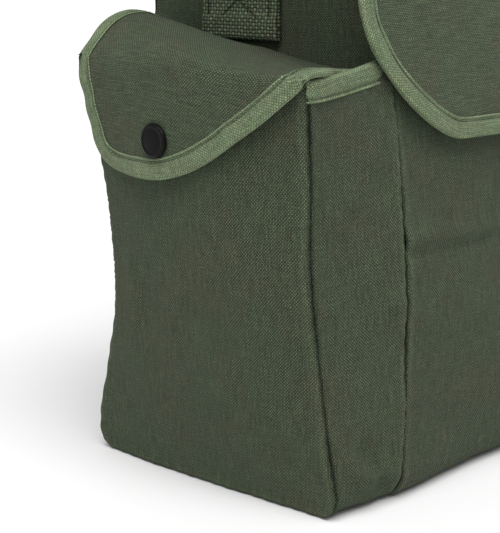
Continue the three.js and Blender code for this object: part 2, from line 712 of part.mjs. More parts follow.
for (const side of ["left", "right"]) {
  const pocket = new THREE.Group();
  pocket.scale.x = side === "left" ? 1 : -1;
  for (const [name, [geometry, material]] of Object.entries(pocketPieces))
    addPiece(`${side}_${name}`, geometry, material, pocket);
  haversack.add(pocket);
}

addPiece("shoulder_strap", shoulderStrap(), strapWebbing);

export default haversack;
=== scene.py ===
import math

import bpy
import numpy as np
from mathutils import Matrix, noise


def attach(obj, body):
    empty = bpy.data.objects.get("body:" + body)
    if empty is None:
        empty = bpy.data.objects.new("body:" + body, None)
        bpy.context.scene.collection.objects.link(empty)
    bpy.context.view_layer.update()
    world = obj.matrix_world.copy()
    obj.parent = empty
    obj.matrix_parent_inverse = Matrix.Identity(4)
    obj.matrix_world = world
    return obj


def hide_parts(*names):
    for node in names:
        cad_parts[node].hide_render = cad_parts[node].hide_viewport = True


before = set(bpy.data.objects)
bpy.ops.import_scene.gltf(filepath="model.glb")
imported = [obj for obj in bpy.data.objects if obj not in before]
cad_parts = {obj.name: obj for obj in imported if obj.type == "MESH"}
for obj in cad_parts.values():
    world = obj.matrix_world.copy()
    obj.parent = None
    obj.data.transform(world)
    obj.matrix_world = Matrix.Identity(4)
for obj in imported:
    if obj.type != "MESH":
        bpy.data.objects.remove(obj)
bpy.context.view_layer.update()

# Frame: the origin is the middle of the base, +X runs along the width, +Y to the back, +Z up. Metres.


# Main bag. One long piece of cotton canvas comes down the front, round the base and up the back. Its side
# edges are turned in and sewn to the end panels and to the pocket gussets.

canvas = 0.0018
seam_gap = 0.0003
ground_gap = 0.0001
half_width = 0.190
half_depth = 0.088
body_height = 0.280
base_radius = 0.014
front_bulge = 0.008
back_bulge = 0.004

# Sections of the main bag: the height as a share of its own, then how far the front and the back stand
# from the middle as shares of half the base depth.
body_sections = np.array(
    [
        [0.00, 0.985, 0.930],
        [0.06, 1.000, 0.945],
        [0.17, 1.015, 0.960],
        [0.30, 1.010, 0.960],
        [0.43, 0.985, 0.950],
        [0.56, 0.945, 0.935],
        [0.71, 0.875, 0.905],
        [0.84, 0.775, 0.870],
        [1.00, 0.640, 0.830],
    ]
)


def lerp(start, end, share):
    return start + (end - start) * share


def eased(share):
    share = np.clip(share, 0, 1)
    return share * share * (3 - 2 * share)


def from_table(table, at, column):
    """A smooth value of one column of a table between its rows."""
    knots = table[:, 0]
    values = table[:, column]
    last = len(knots) - 1
    order = np.arange(last + 1)
    before = np.maximum(order - 1, 0)
    after = np.minimum(order + 1, last)
    slopes = (values[after] - values[before]) / (knots[after] - knots[before])
    i = np.clip(np.searchsorted(knots, at) - 1, 0, last - 1)
    span = knots[i + 1] - knots[i]
    t = np.clip((at - knots[i]) / span, 0, 1)
    return (
        (2 * t**3 - 3 * t**2 + 1) * values[i]
        + (t**3 - 2 * t**2 + t) * slopes[i] * span
        + (3 * t**2 - 2 * t**3) * values[i + 1]
        + (t**3 - t**2) * slopes[i + 1] * span
    )


def bulge(x, z):
    across = 1 - np.clip(x / half_width, -1, 1) ** 2
    return across * np.sin(np.pi * np.clip(z / body_height, 0, 1))


def body_front(x, z):
    return -half_depth * from_table(body_sections, z / body_height, 1) - front_bulge * bulge(x, z)


def body_back(x, z):
    return half_depth * from_table(body_sections, z / body_height, 2) + back_bulge * bulge(x, z)


def wrapped_rows(top, radius, front_at, back_at, step):
    """Rows of cloth that come down the front, round the base and up the back: depth, height, and how far
    each row is on its way from the front to the back."""
    shares = np.linspace(1, 0, round(float(np.max(top)) / step) + 1)
    turns = np.linspace(0, np.pi / 2, 9)[1:-1]
    rows = []
    for share in shares:
        z = lerp(radius, top, share)
        rows.append((front_at(z), z, 0))
    for turn in turns:
        rows.append((front_at(radius) + radius * (1 - np.cos(turn)), radius * (1 - np.sin(turn)), 0))
    for share in np.linspace(0, 1, round(2 * half_depth / step) + 1):
        y = lerp(front_at(radius) + radius, back_at(radius) - radius, share)
        rows.append((y, 0 * y, share))
    for turn in turns[::-1]:
        rows.append((back_at(radius) - radius * (1 - np.cos(turn)), radius * (1 - np.sin(turn)), 1))
    for share in shares[::-1]:
        z = lerp(radius, top, share)
        rows.append((back_at(z), z, 1))
    depth = np.array([row[0] for row in rows])
    height = np.array([row[1] for row in rows])
    backward = np.array([row[2] for row in rows])
    return depth, height, backward


def unevenness(points, size, seed):
    """Smooth noise from -1 to 1 at each point, with humps of about that size."""
    places = points.reshape(-1, 3) / size + seed
    values = [noise.noise(place) for place in places]
    return np.array(values).reshape(points.shape[:-1])


def fold(across, up, start, end, width):
    """How much a soft fold from start to end lifts each place: 1 on its middle, less all round."""
    line = np.subtract(end, start)
    place = np.stack(np.broadcast_arrays(across - start[0], up - start[1]), axis=-1)
    share = np.clip(place @ line / (line @ line), 0, 1)
    distance = np.linalg.norm(place - share[..., None] * line, axis=-1)
    ends = 1 - (2 * share - 1) ** 4
    return (0.25 + 0.75 * ends) * np.exp(-((distance / width) ** 2))


def folds(across, up, rows):
    """The lift of several folds together. Each row is a fold: its height, start, end and width."""
    return sum(height * fold(across, up, start, end, width) for height, start, end, width in rows)


def seam_roll(distance, place):
    """The lift of a panel near a sewn edge: a ridge over the turned-in cloth, then the dip of the seam,
    with small puckers along it."""
    ridge = 0.0005 * np.exp(-(((distance - 0.0026) / 0.0018) ** 2))
    dip = 0.0013 * np.exp(-((distance / 0.0006) ** 2))
    puckers = 0.00035 * np.sin(place * 2 * np.pi / 0.0085) * np.exp(-distance / 0.005)
    return ridge - dip + puckers


def seam_wear_and_painted_shade(distance):
    """Wear lightens the ridge beside a seam, and painted shade darkens the seam where the edge turns in to
    it.
    """
    return 0.8 * np.exp(-(((distance - 0.0024) / 0.0014) ** 2)) - 2.4 * np.exp(-((distance / 0.0005) ** 2))


def unit(vectors):
    return vectors / np.linalg.norm(vectors, axis=-1, keepdims=True)


def cloth_normals(grid):
    """Unit normals of a grid of points: the way down its rows, crossed with the way along them."""
    return unit(np.cross(np.gradient(grid, axis=0), np.gradient(grid, axis=1)))


def cloth_lengths(grid):
    """Where each point of a grid lies on the flat cloth, in metres from its top middle."""
    along = np.linalg.norm(np.diff(grid, axis=1), axis=-1)
    down = np.linalg.norm(np.diff(grid, axis=0), axis=-1).mean(axis=1)
    u = np.concatenate([np.zeros((len(grid), 1)), np.cumsum(along, axis=1)], axis=1)
    v = np.concatenate([[0], np.cumsum(down)])
    middle = u[:, u.shape[1] // 2]
    return np.stack(np.broadcast_arrays(u - middle[:, None], -v[:, None]), axis=-1)


def closed_mesh(name, points, faces, uv, wear_and_painted_light):
    """A mesh that faces outwards, with its cloth map in metres and an attribute that marks wear and painted
    light and shade.
    """
    faces = np.array(faces)
    a, b, c, d = (points[faces[:, k]] for k in range(4))
    volume = np.sum(a * np.cross(b, c)) + np.sum(a * np.cross(c, d))
    if volume < 0:
        faces = faces[:, ::-1]
    mesh = bpy.data.meshes.new(name)
    mesh.from_pydata(points.tolist(), [], faces.tolist())
    corners = np.empty(len(mesh.loops), dtype=np.int32)
    mesh.loops.foreach_get("vertex_index", corners)
    mesh.uv_layers.new(name="cloth").data.foreach_set("uv", uv[corners].astype(np.float32).ravel())
    mesh.attributes.new("wear_and_painted_light", "FLOAT", "POINT").data.foreach_set("value", wear_and_painted_light.astype(np.float32))
    mesh.polygons.foreach_set("use_smooth", np.ones(len(mesh.polygons), dtype=bool))
    mesh.set_sharp_from_angle(angle=math.radians(65))
    return mesh


def strip(*corners):
    """Faces from four equal grids of corner numbers."""
    return np.stack([corner.ravel() for corner in corners], axis=-1)


def cloth_wall(name, grid, through, wear_and_painted_light):
    """A closed wall of cloth from a grid of points on its outer face to as far as through behind it."""
    rows, columns = grid.shape[:2]
    behind = grid + cloth_normals(grid) * through
    points = np.concatenate([grid.reshape(-1, 3), behind.reshape(-1, 3)])
    points[:, 2] = np.maximum(points[:, 2], ground_gap)
    index = np.arange(rows * columns).reshape(rows, columns)
    other = index + rows * columns
    faces = [
        strip(index[:-1, :-1], index[1:, :-1], index[1:, 1:], index[:-1, 1:]),
        strip(other[:-1, :-1], other[:-1, 1:], other[1:, 1:], other[1:, :-1]),
        strip(index[:-1, 0], other[:-1, 0], other[1:, 0], index[1:, 0]),
        strip(index[:-1, -1], index[1:, -1], other[1:, -1], other[:-1, -1]),
        strip(index[0, :-1], index[0, 1:], other[0, 1:], other[0, :-1]),
        strip(index[-1, :-1], other[-1, :-1], other[-1, 1:], index[-1, 1:]),
    ]
    uv = np.tile(cloth_lengths(grid).reshape(-1, 2), (2, 1))
    both = np.tile(np.broadcast_to(wear_and_painted_light, (rows, columns)).ravel(), 2)
    return closed_mesh(name, points, np.concatenate(faces), uv, both)


def set_in_place(name, mesh, material, node=None):
    """Adds a finished piece, which stands for a CAD node where one is named."""
    piece = bpy.data.objects.new(name, mesh)
    bpy.context.scene.collection.objects.link(piece)
    if not mesh.materials:
        mesh.materials.append(material)
    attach(piece, "root")
    if node:
        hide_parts(node)
    return piece


def feed(inputs, feeds):
    """Gives inputs, by name or number, a socket, a node for its first output, or a plain value."""
    for key, value in feeds.items():
        if isinstance(value, bpy.types.Node):
            value = value.outputs[0]
        if isinstance(value, bpy.types.NodeSocket):
            inputs[key].id_data.links.new(value, inputs[key])
        else:
            inputs[key].default_value = value


def add_node(tree, kind, feeds=None, **settings):
    """A new node with its settings, and its inputs fed."""
    made = tree.nodes.new(kind)
    for name, value in settings.items():
        setattr(made, name, value)
    feed(made.inputs, feeds or {})
    return made


def maths(tree, operation, *inputs):
    """A Math node whose inputs are sockets or numbers; returns its output."""
    return add_node(tree, "ShaderNodeMath", dict(enumerate(inputs)), operation=operation).outputs[0]


def blend_colours(tree, share, first, second, how="MIX"):
    """A colour Mix node; share, first and second are sockets, numbers or colours."""
    feeds = {0: share, 6: first, 7: second}
    return add_node(tree, "ShaderNodeMix", feeds, data_type="RGBA", blend_type=how).outputs[2]


def remap(tree, value, from_low, from_high, to_low, to_high):
    """A smooth step of a value from one range to another; returns its output."""
    feeds = {"Value": value, "From Min": from_low, "From Max": from_high, "To Min": to_low, "To Max": to_high}
    return add_node(tree, "ShaderNodeMapRange", feeds, interpolation_type="SMOOTHSTEP").outputs["Result"]


def noise_in(tree, vector, scale, detail=2.0, stretch=(1, 1, 1)):
    """A Noise Texture over a vector, stretched by a Mapping node; returns its value from 0 to 1."""
    mapping = add_node(tree, "ShaderNodeMapping", {"Vector": vector, "Scale": stretch})
    feeds = {"Vector": mapping, "Scale": scale, "Detail": detail}
    return add_node(tree, "ShaderNodeTexNoise", feeds).outputs["Fac"]


def new_group(name, inputs, outputs, kind="ShaderNodeTree"):
    """An empty node group with its sockets; returns it, what comes into it and what goes out of it."""
    tree = bpy.data.node_groups.new(name, kind)
    for socket_name, socket_kind, value in inputs:
        socket = tree.interface.new_socket(socket_name, in_out="INPUT", socket_type=socket_kind)
        if value is not None:
            socket.default_value = value
    for socket_name, socket_kind in outputs:
        tree.interface.new_socket(socket_name, in_out="OUTPUT", socket_type=socket_kind)
    return tree, add_node(tree, "NodeGroupInput").outputs, add_node(tree, "NodeGroupOutput").inputs


def new_material(name):
    """A material, its node tree and the inputs of its shader."""
    material = bpy.data.materials.new(name)
    material.use_nodes = True
    return material, material.node_tree, material.node_tree.nodes["Principled BSDF"].inputs


def plain_weave_group():
    """Threads that run both ways on a cloth map and go over and under each other. Height is the relief, Gap
    the dark places between threads, Over where a thread along the cloth lies on top, and Thread the
    unevenness from one thread to the next."""
    tree, given, results = new_group(
        "Plain weave",
        [
            ("Vector", "NodeSocketVector", None),
            ("Pitch across", "NodeSocketFloat", 0.0008),
            ("Pitch along", "NodeSocketFloat", 0.0008),
            ("Wander", "NodeSocketFloat", 0.5),
        ],
        [(name, "NodeSocketFloat") for name in ("Height", "Gap", "Over", "Thread")],
    )
    cloth = given["Vector"]
    wander_scale = 150.0
    place = add_node(tree, "ShaderNodeSeparateXYZ", {0: cloth}).outputs
    wander_across = maths(tree, "SUBTRACT", noise_in(tree, cloth, wander_scale), 0.5)
    other_noise = noise_in(tree, cloth, wander_scale, 2.0, (1.1, 0.9, 1))
    wander_along = maths(tree, "SUBTRACT", other_noise, 0.5)
    threads_across = maths(tree, "DIVIDE", place["X"], given["Pitch across"])
    threads_along = maths(tree, "DIVIDE", place["Y"], given["Pitch along"])
    across = maths(tree, "MULTIPLY_ADD", wander_across, given["Wander"], threads_across)
    along = maths(tree, "MULTIPLY_ADD", wander_along, given["Wander"], threads_along)
    wave_across = maths(tree, "SINE", maths(tree, "MULTIPLY", across, math.pi))
    wave_along = maths(tree, "SINE", maths(tree, "MULTIPLY", along, math.pi))
    warp_over = remap(tree, maths(tree, "MULTIPLY", wave_across, wave_along), -0.35, 0.35, 0.0, 1.0)
    round_across = maths(tree, "POWER", maths(tree, "ABSOLUTE", wave_across), 0.7)
    round_along = maths(tree, "POWER", maths(tree, "ABSOLUTE", wave_along), 0.7)
    warp = maths(tree, "MULTIPLY", round_across, maths(tree, "MULTIPLY_ADD", round_along, 0.5, 0.5))
    weft = maths(tree, "MULTIPLY", round_along, maths(tree, "MULTIPLY_ADD", round_across, 0.7, 0.1))
    warp_part = maths(tree, "MULTIPLY", warp, warp_over)
    weft_part = maths(tree, "MULTIPLY", weft, maths(tree, "SUBTRACT", 1.0, warp_over))
    relief = maths(tree, "ADD", warp_part, weft_part)
    cells = add_node(tree, "ShaderNodeCombineXYZ", {"X": across, "Y": along})
    warp_threads = noise_in(tree, cells, 1.0, 1.0, (0.9, 0.06, 1))
    weft_threads = noise_in(tree, cells, 1.0, 1.0, (0.06, 0.9, 1))
    thread_feeds = {0: warp_over, 2: weft_threads, 3: warp_threads}
    threads = add_node(tree, "ShaderNodeMix", thread_feeds, data_type="FLOAT")
    gap = remap(tree, relief, 0.1, 0.65, 1.0, 0.0)
    feed(results, {"Height": relief, "Gap": gap, "Over": warp_over, "Thread": threads})
    return tree


def uneven_dye_group():
    """Uneven dye: broad patches where the green turns to olive brown, and small lint on top."""
    tree, given, results = new_group(
        "Uneven dye",
        [
            ("Vector", "NodeSocketVector", None),
            ("Green", "NodeSocketColor", (0.06, 0.09, 0.05, 1)),
            ("Brown", "NodeSocketColor", (0.08, 0.08, 0.05, 1)),
            ("Patch size", "NodeSocketFloat", 0.02),
        ],
        [("Color", "NodeSocketColor"), ("Lint", "NodeSocketFloat")],
    )
    per_size = maths(tree, "DIVIDE", 1.0, given["Patch size"])
    patch_feeds = {"Vector": given["Vector"], "Scale": per_size, "Detail": 3.0, "Roughness": 0.6}
    patches = add_node(tree, "ShaderNodeTexNoise", patch_feeds)
    lint = add_node(tree, "ShaderNodeTexNoise", {"Vector": given["Vector"], "Scale": 900.0, "Detail": 4.0})
    patch_share = remap(tree, patches.outputs["Fac"], 0.38, 0.62, 0.0, 1.0)
    dyed = blend_colours(tree, patch_share, given["Green"], given["Brown"])
    feed(results, {"Color": dyed, "Lint": lint.outputs["Fac"]})
    return tree


plain_weave = plain_weave_group()
uneven_dye = uneven_dye_group()


def woven_material(name, green, brown, pitch, patch_size, gap_dark, under_dark, relief_height):
    """Woven cotton: uneven dye, darker between the threads, lighter where an attribute marks wear and painted
    light, and darker where it marks painted shade. pitch is that of the threads across and along the cloth."""
    material, tree, shader = new_material(name)
    cloth_map = add_node(tree, "ShaderNodeUVMap", uv_map="cloth")
    spot = add_node(tree, "ShaderNodeTexCoord").outputs["Object"]
    weave_feeds = {"Vector": cloth_map, "Pitch across": pitch[0], "Pitch along": pitch[1]}
    weave = add_node(tree, "ShaderNodeGroup", weave_feeds, node_tree=plain_weave)
    dye_feeds = {"Vector": spot, "Green": (*green, 1), "Brown": (*brown, 1), "Patch size": patch_size}
    dye = add_node(tree, "ShaderNodeGroup", dye_feeds, node_tree=uneven_dye)
    wear_and_painted_light_mark = add_node(tree, "ShaderNodeAttribute", attribute_name="wear_and_painted_light").outputs["Fac"]
    lint = dye.outputs["Lint"]
    light = remap(tree, weave.outputs["Thread"], 0.25, 0.75, 0.72, 1.28)
    for factor in (
        remap(tree, weave.outputs["Gap"], 0.0, 1.0, 1.0, gap_dark),
        remap(tree, lint, 0.3, 0.7, 0.78, 1.22),
        remap(tree, weave.outputs["Over"], 0.0, 1.0, under_dark, 1.25),
        # The attribute lightens the cloth for wear and painted light, and darkens it for painted shade.
        maths(tree, "MULTIPLY_ADD", wear_and_painted_light_mark, 0.35, 1.0),
    ):
        light = maths(tree, "MULTIPLY", light, factor)
    grey = add_node(tree, "ShaderNodeCombineColor", {"Red": light, "Green": light, "Blue": light})
    height = maths(tree, "MULTIPLY_ADD", lint, 0.35, weave.outputs["Height"])
    bump = add_node(tree, "ShaderNodeBump", {"Strength": 0.8, "Distance": relief_height, "Height": height})
    feed(
        shader,
        {
            "Base Color": blend_colours(tree, 1.0, dye.outputs["Color"], grey.outputs[0], "MULTIPLY"),
            "Roughness": remap(tree, weave.outputs["Height"], 0.0, 1.0, 0.98, 0.82),
            "Specular IOR Level": 0.12,
            "Sheen Weight": 0.04,
            "Sheen Roughness": 0.6,
            "Normal": bump,
        },
    )
    return material


canvas_cloth = woven_material(
    "canvas",
    green=(0.079, 0.107, 0.061),
    brown=(0.086, 0.101, 0.060),
    pitch=(0.00076, 0.0008),
    patch_size=0.03,
    gap_dark=0.3,
    under_dark=0.56,
    relief_height=0.0005,
)


def cloth_piece(name, grid, through, wear_and_painted_light, node):
    """A finished wall of canvas that stands for a CAD node."""
    return set_in_place(name, cloth_wall(name, grid, through, wear_and_painted_light), canvas_cloth, node)


cloth_step = 0.003
# Above the pockets the cloth has no waves beside its seams: from this height, over so much more of it,
# and as far as this from the seam.
level_from = 0.205
level_over = 0.015
level_width = 0.02
body_edge = half_width - seam_gap
body_x = np.linspace(-body_edge, body_edge, round(2 * body_edge / cloth_step) + 1)
# More columns beside the seams, where the cloth rolls in.
seam_x = np.array([0.0006, 0.0012, 0.002, 0.0034, 0.005])
body_x = np.unique(np.concatenate([body_x, seam_x - body_edge, body_edge - seam_x]).round(6))
body_y, body_z, _ = wrapped_rows(
    np.full_like(body_x, body_height),
    np.full_like(body_x, base_radius),
    lambda z: body_front(body_x, z),
    lambda z: body_back(body_x, z),
    cloth_step,
)
body_grid = np.stack(np.broadcast_arrays(body_x, body_y, body_z), axis=-1)
body_lift = 0.0022 * unevenness(body_grid, 0.075, 3.1) + 0.0009 * unevenness(body_grid, 0.024, 8.4)
front_creases = folds(
    body_x,
    body_z,
    [
        (0.0020, (-0.200, 0.126), (-0.110, 0.124), 0.0036),
        (-0.0018, (-0.195, 0.120), (-0.120, 0.119), 0.0034),
        (0.0010, (-0.192, 0.100), (-0.174, 0.086), 0.003),
        (0.0010, (-0.190, 0.054), (-0.172, 0.042), 0.003),
        (0.0009, (-0.190, 0.039), (-0.170, 0.025), 0.003),
    ],
)
body_lift += np.where(body_y < 0, front_creases, 0)
from_seam = body_edge - np.abs(body_x)
above_pocket = eased((body_z - level_from) / level_over)
body_lift *= 1 - above_pocket * (1 - eased(from_seam / level_width))
body_lift += seam_roll(from_seam, body_z + body_y)
body_grid = body_grid + cloth_normals(body_grid) * body_lift[..., None]
body_grid[..., 2] = np.maximum(body_grid[..., 2], ground_gap)

# The seams carry wear on their ridges and painted shade in their dips.
body_cloth = cloth_piece("body_cloth", body_grid, -canvas, seam_wear_and_painted_shade(from_seam), "body_panel")


# End panels. A flat piece of the same canvas closes each end of the main bag; the pocket and the strap
# are sewn to it.

end_panel_height = 0.270
turned_in = canvas + 0.0002
end_hollow = 0.0012
sides = (("left", -1), ("right", 1))


def rounded_off(z, radius):
    """Depth that a rounded lower corner takes off a side at a height."""
    below = np.clip(radius - z, 0, radius)
    return radius - np.sqrt(radius**2 - below**2)


def panel_rows(radius, top, front_at, back_at, step, columns):
    """Height, depth and share of the way back for a panel with rounded lower corners."""
    corner = radius * (1 - np.cos(np.linspace(0, np.pi / 2, 8)))
    heights = np.concatenate([corner, np.linspace(radius, top, round((top - radius) / step) + 1)[1:]])
    z, share = np.meshgrid(heights, columns, indexing="ij")
    front = front_at(z) + rounded_off(z, radius)
    back = back_at(z) - rounded_off(z, radius)
    return z, lerp(front, back, share), share


end_z, end_y, _ = panel_rows(
    base_radius,
    end_panel_height,
    lambda z: body_front(half_width, z) + turned_in,
    lambda z: body_back(half_width, z) - turned_in,
    cloth_step,
    np.linspace(0, 1, 61),
)
end_z = lerp(turned_in, end_panel_height, end_z / end_panel_height)
for side, sign in sides:
    end_grid = np.stack([np.full_like(end_z, sign * half_width), end_y, end_z], axis=-1)
    end_grid[..., 0] -= sign * end_hollow * (0.5 + 0.5 * unevenness(end_grid, 0.05, 5.0))
    end_cloth = cloth_piece(f"end_cloth_{side}", end_grid, sign * canvas, 0, f"end_panel_{side}")


# Pocket gussets. A strip of canvas comes down the front of each side pocket, under it and up its back. Its
# inner edge is sewn into the seam at the end of the bag and its outer edge to the pocket's face.

pocket_height = 0.203
pocket_reach = 0.062
pocket_bulge = 0.013
pocket_radius = 0.011
mouth_rise = 0.007
mouth_top = pocket_height - 0.0018

# Sections of a pocket: the height as a share of its own, the reaches of the front and back outer seams as
# shares of pocket_reach, and how far these seams lie from the middle as shares of half the base depth.
pocket_sections = np.array(
    [
        [0.00, 0.64, 0.64, 0.945, 0.900],
        [0.13, 0.70, 0.70, 0.925, 0.830],
        [0.26, 0.77, 0.75, 0.905, 0.720],
        [0.42, 0.82, 0.77, 0.885, 0.650],
        [0.60, 0.88, 0.78, 0.875, 0.668],
        [0.80, 0.90, 0.81, 0.880, 0.716],
        [1.00, 0.94, 0.85, 0.885, 0.770],
    ]
)


def pocket_front(z):
    return -half_depth * from_table(pocket_sections, z / pocket_height, 3)


def pocket_back(z):
    return half_depth * from_table(pocket_sections, z / pocket_height, 4)


def pocket_seam_x(share, z):
    front_reach = from_table(pocket_sections, z / pocket_height, 1)
    back_reach = from_table(pocket_sections, z / pocket_height, 2)
    return -half_width - pocket_reach * lerp(front_reach, back_reach, share)


def face_fullness(share, z):
    up = np.sin(np.pi * np.clip(0.06 + 0.66 * z / pocket_height, 0, 1))
    return 4 * share * (1 - share) * up


def face_x(share, z):
    """Outer side of the pocket's face, drawn for the left end."""
    return pocket_seam_x(share, z) - seam_gap - canvas - pocket_bulge * face_fullness(share, z)


def mirrored(points, sign):
    """Points drawn for the left pocket, or their mirror image for the right one."""
    return points * np.array([-sign, 1, 1])


gusset_width = 0.058
gusset_step = 0.0022
gusset_across = np.linspace(0, 1, 27)
gusset_seams = np.array([0.0006, 0.0012, 0.002, 0.0034]) / gusset_width
gusset_across = np.unique(np.concatenate([gusset_across, gusset_seams, 1 - gusset_seams]).round(5))
gusset_y, gusset_z, gusset_back = wrapped_rows(
    mouth_top + mouth_rise * (1 - gusset_across) ** 1.5,
    lerp(base_radius, pocket_radius, gusset_across),
    lambda z: lerp(body_front(half_width, z), pocket_front(z), gusset_across),
    lambda z: lerp(body_back(half_width, z), pocket_back(z), gusset_across),
    gusset_step,
)
gusset_seam = pocket_seam_x(gusset_back[:, None], gusset_z)
gusset_x = lerp(-half_width - seam_gap, gusset_seam, gusset_across)
gusset_flat = np.stack([gusset_x, gusset_y, gusset_z], axis=-1)
to_bag = np.abs(gusset_x + half_width)
to_face = np.abs(gusset_x - gusset_seam)
gusset_lift = 0.0018 * unevenness(gusset_flat, 0.045, 1.7) + 0.0008 * unevenness(gusset_flat, 0.018, 6.2)
# Soft folds where the front of the gusset turns under the pocket, and puckers that run off its seams.
gusset_folds = folds(
    gusset_x,
    gusset_z,
    [
        (0.0026, (-0.229, 0.034), (-0.205, 0.006), 0.0045),
        (-0.0020, (-0.222, 0.036), (-0.200, 0.012), 0.0055),
        (0.0020, (-0.214, 0.0185), (-0.193, 0.0165), 0.004),
        (-0.0026, (-0.216, 0.011), (-0.195, 0.009), 0.0035),
        (0.0009, (-0.203, 0.102), (-0.190, 0.094), 0.004),
        (0.0009, (-0.202, 0.056), (-0.190, 0.048), 0.004),
        (0.0008, (-0.236, 0.140), (-0.215, 0.150), 0.006),
    ],
)
gusset_lift += np.where(gusset_y < 0, gusset_folds, 0.6 * gusset_folds)
gusset_lift += seam_roll(to_bag, gusset_z + gusset_y)
gusset_lift += seam_roll(to_face, gusset_z + gusset_y + 0.004)
# Wear on the seam ridges, and painted shade in the seams themselves.
gusset_wear_and_painted_shade = np.minimum(seam_wear_and_painted_shade(to_bag), seam_wear_and_painted_shade(to_face) + 0.8)
gusset_grid = gusset_flat - cloth_normals(gusset_flat) * gusset_lift[..., None]
gusset_grid[..., 2] = np.maximum(gusset_grid[..., 2], ground_gap)

for side, sign in sides:
    gusset_cloth = cloth_piece(
        f"{side}_gusset_cloth",
        mirrored(gusset_grid, sign),
        -sign * canvas,
        gusset_wear_and_painted_shade,
        f"{side}_pocket_gusset",
    )


# Pocket faces. The outer panel of each side pocket. It is eased into the gusset's edge, so that it bellies
# out a little above the middle.

face_width = 0.145
face_step = 0.002
face_lifted = 0.0003
face_columns = np.linspace(0, 1, 70)
face_edges = np.array([0.0006, 0.0012, 0.002, 0.003]) / face_width
face_columns = np.unique(np.concatenate([face_columns, face_edges, 1 - face_edges]).round(5))
face_z, face_y, face_share = panel_rows(
    pocket_radius, mouth_top, pocket_front, pocket_back, face_step, face_columns
)
# The panel's base is lifted off the ground.
face_z = lerp(face_lifted, mouth_top, face_z / mouth_top)
face_grid = np.stack([face_x(face_share, face_z), face_y, face_z], axis=-1)
face_span = pocket_back(face_z) - pocket_front(face_z)
to_side = np.minimum(face_share, 1 - face_share) * face_span
to_edge = np.minimum(to_side, face_z)
face_lift = 0.0022 * unevenness(face_grid, 0.055, 2.3) + 0.0008 * unevenness(face_grid, 0.02, 7.7)
face_lift += 0.0022 * fold(face_y, face_z, (0.036, 0.112), (0.034, 0.070), 0.006)
face_lift -= 0.0016 * fold(face_y, face_z, (0.024, 0.112), (0.020, 0.050), 0.010)
face_lift += seam_roll(to_edge, face_y + face_z)
face_grid[..., 0] -= face_lift

# Its seams carry wear on their ridges and painted shade in their dips.
for side, sign in sides:
    face_cloth = cloth_piece(
        f"{side}_face_cloth",
        mirrored(face_grid, sign),
        sign * canvas,
        seam_wear_and_painted_shade(to_edge),
        f"{side}_pocket_face",
    )


# Mouth bindings. Green cotton tape is folded over the top edge of each pocket's gusset and face, and sewn
# through with one row of stitches near its lower selvedge.

tape = 0.001
tape_width = 0.0085
tape_slack = 0.0005
stitch_line = 0.0069

# Half of the tape's section, from its selvedge to the fold over the edge: the distance onto the cloth from
# the cloth's edge, and the height over the middle of the cloth. The dip is where the stitches draw it in.
tape_section = np.array(
    [
        [8.50, 0.98],
        [8.62, 1.22],
        [8.50, 1.46],
        [8.20, 1.62],
        [7.85, 1.62],
        [7.50, 1.46],
        [7.20, 1.28],
        [6.90, 1.22],
        [6.55, 1.30],
        [6.10, 1.50],
        [5.40, 1.70],
        [4.40, 1.84],
        [3.00, 1.92],
        [1.60, 1.94],
        [0.60, 1.90],
        [-0.30, 1.74],
        [-0.95, 1.38],
        [-1.35, 0.78],
        [-1.48, 0.00],
    ]
) * 0.001
inner_section = np.array([[-0.5, 0.94], [2.6, 0.94], [5.6, 0.94], [8.2, 0.94]]) * 0.001

# The closed section: from one selvedge over the fold to the other, then back along the inside.
loop_section = np.concatenate(
    [
        tape_section,
        (tape_section * [1, -1])[::-1][1:],
        (inner_section * [1, -1])[::-1],
        inner_section,
    ]
)
outer_count = 2 * len(tape_section) - 1
# The selvedges and the outer fold are painted light as highlights, and the line of stitches is painted dark
# as the shade of its groove.
onto_cloth = loop_section[:, 0]
selvedge_painted_highlight = 0.8 * np.exp(-(((onto_cloth - 0.0082) / 0.0006) ** 2))
fold_painted_highlight = 0.5 * np.exp(-(((onto_cloth + 0.0010) / 0.0009) ** 2))
stitch_groove_painted_shade = 1.7 * np.exp(-(((onto_cloth - stitch_line) / 0.0005) ** 2))
tape_painted_light = selvedge_painted_highlight + fold_painted_highlight - stitch_groove_painted_shade


def run_along(path):
    """How far each point of a path lies from its start, along it."""
    return np.concatenate([[0], np.cumsum(np.linalg.norm(np.diff(path, axis=0), axis=1))])


def swept(name, loops, around, lengths, wear_and_painted_light, outer):
    """A mesh through loops of points. around and lengths place them on the cloth map. A ladder of faces
    covers each end, from the first outer points of its loop to the rest; where the rest are fewer, its
    faces repeat a corner."""
    count, size = loops.shape[:2]
    index = np.arange(count * size).reshape(count, size)
    following = np.roll(index, -1, axis=1)
    faces = [strip(index[:-1], following[:-1], following[1:], index[1:])]
    for end, turn in ((index[0], 1), (index[-1], -1)):
        rest = end[outer:][::-1]
        facing = rest[np.linspace(0, len(rest) - 1, outer).round().astype(int)]
        faces.append(strip(end[: outer - 1], end[1:outer], facing[1:], facing[:-1])[:, ::turn])
    uv = np.stack(np.broadcast_arrays(around, lengths[:, None]), axis=-1).reshape(-1, 2)
    wear_and_painted_light = np.broadcast_to(wear_and_painted_light, (count, size)).ravel()
    return closed_mesh(name, loops.reshape(-1, 3), np.concatenate(faces), uv, wear_and_painted_light)


def tape_piece(name, loops, lengths, node):
    """A finished binding that stands for a CAD node."""
    around = run_along(loops[len(loops) // 2])
    mesh = swept(name, loops, around, lengths, tape_painted_light, outer_count)
    return set_in_place(name, mesh, binding_tape, node)


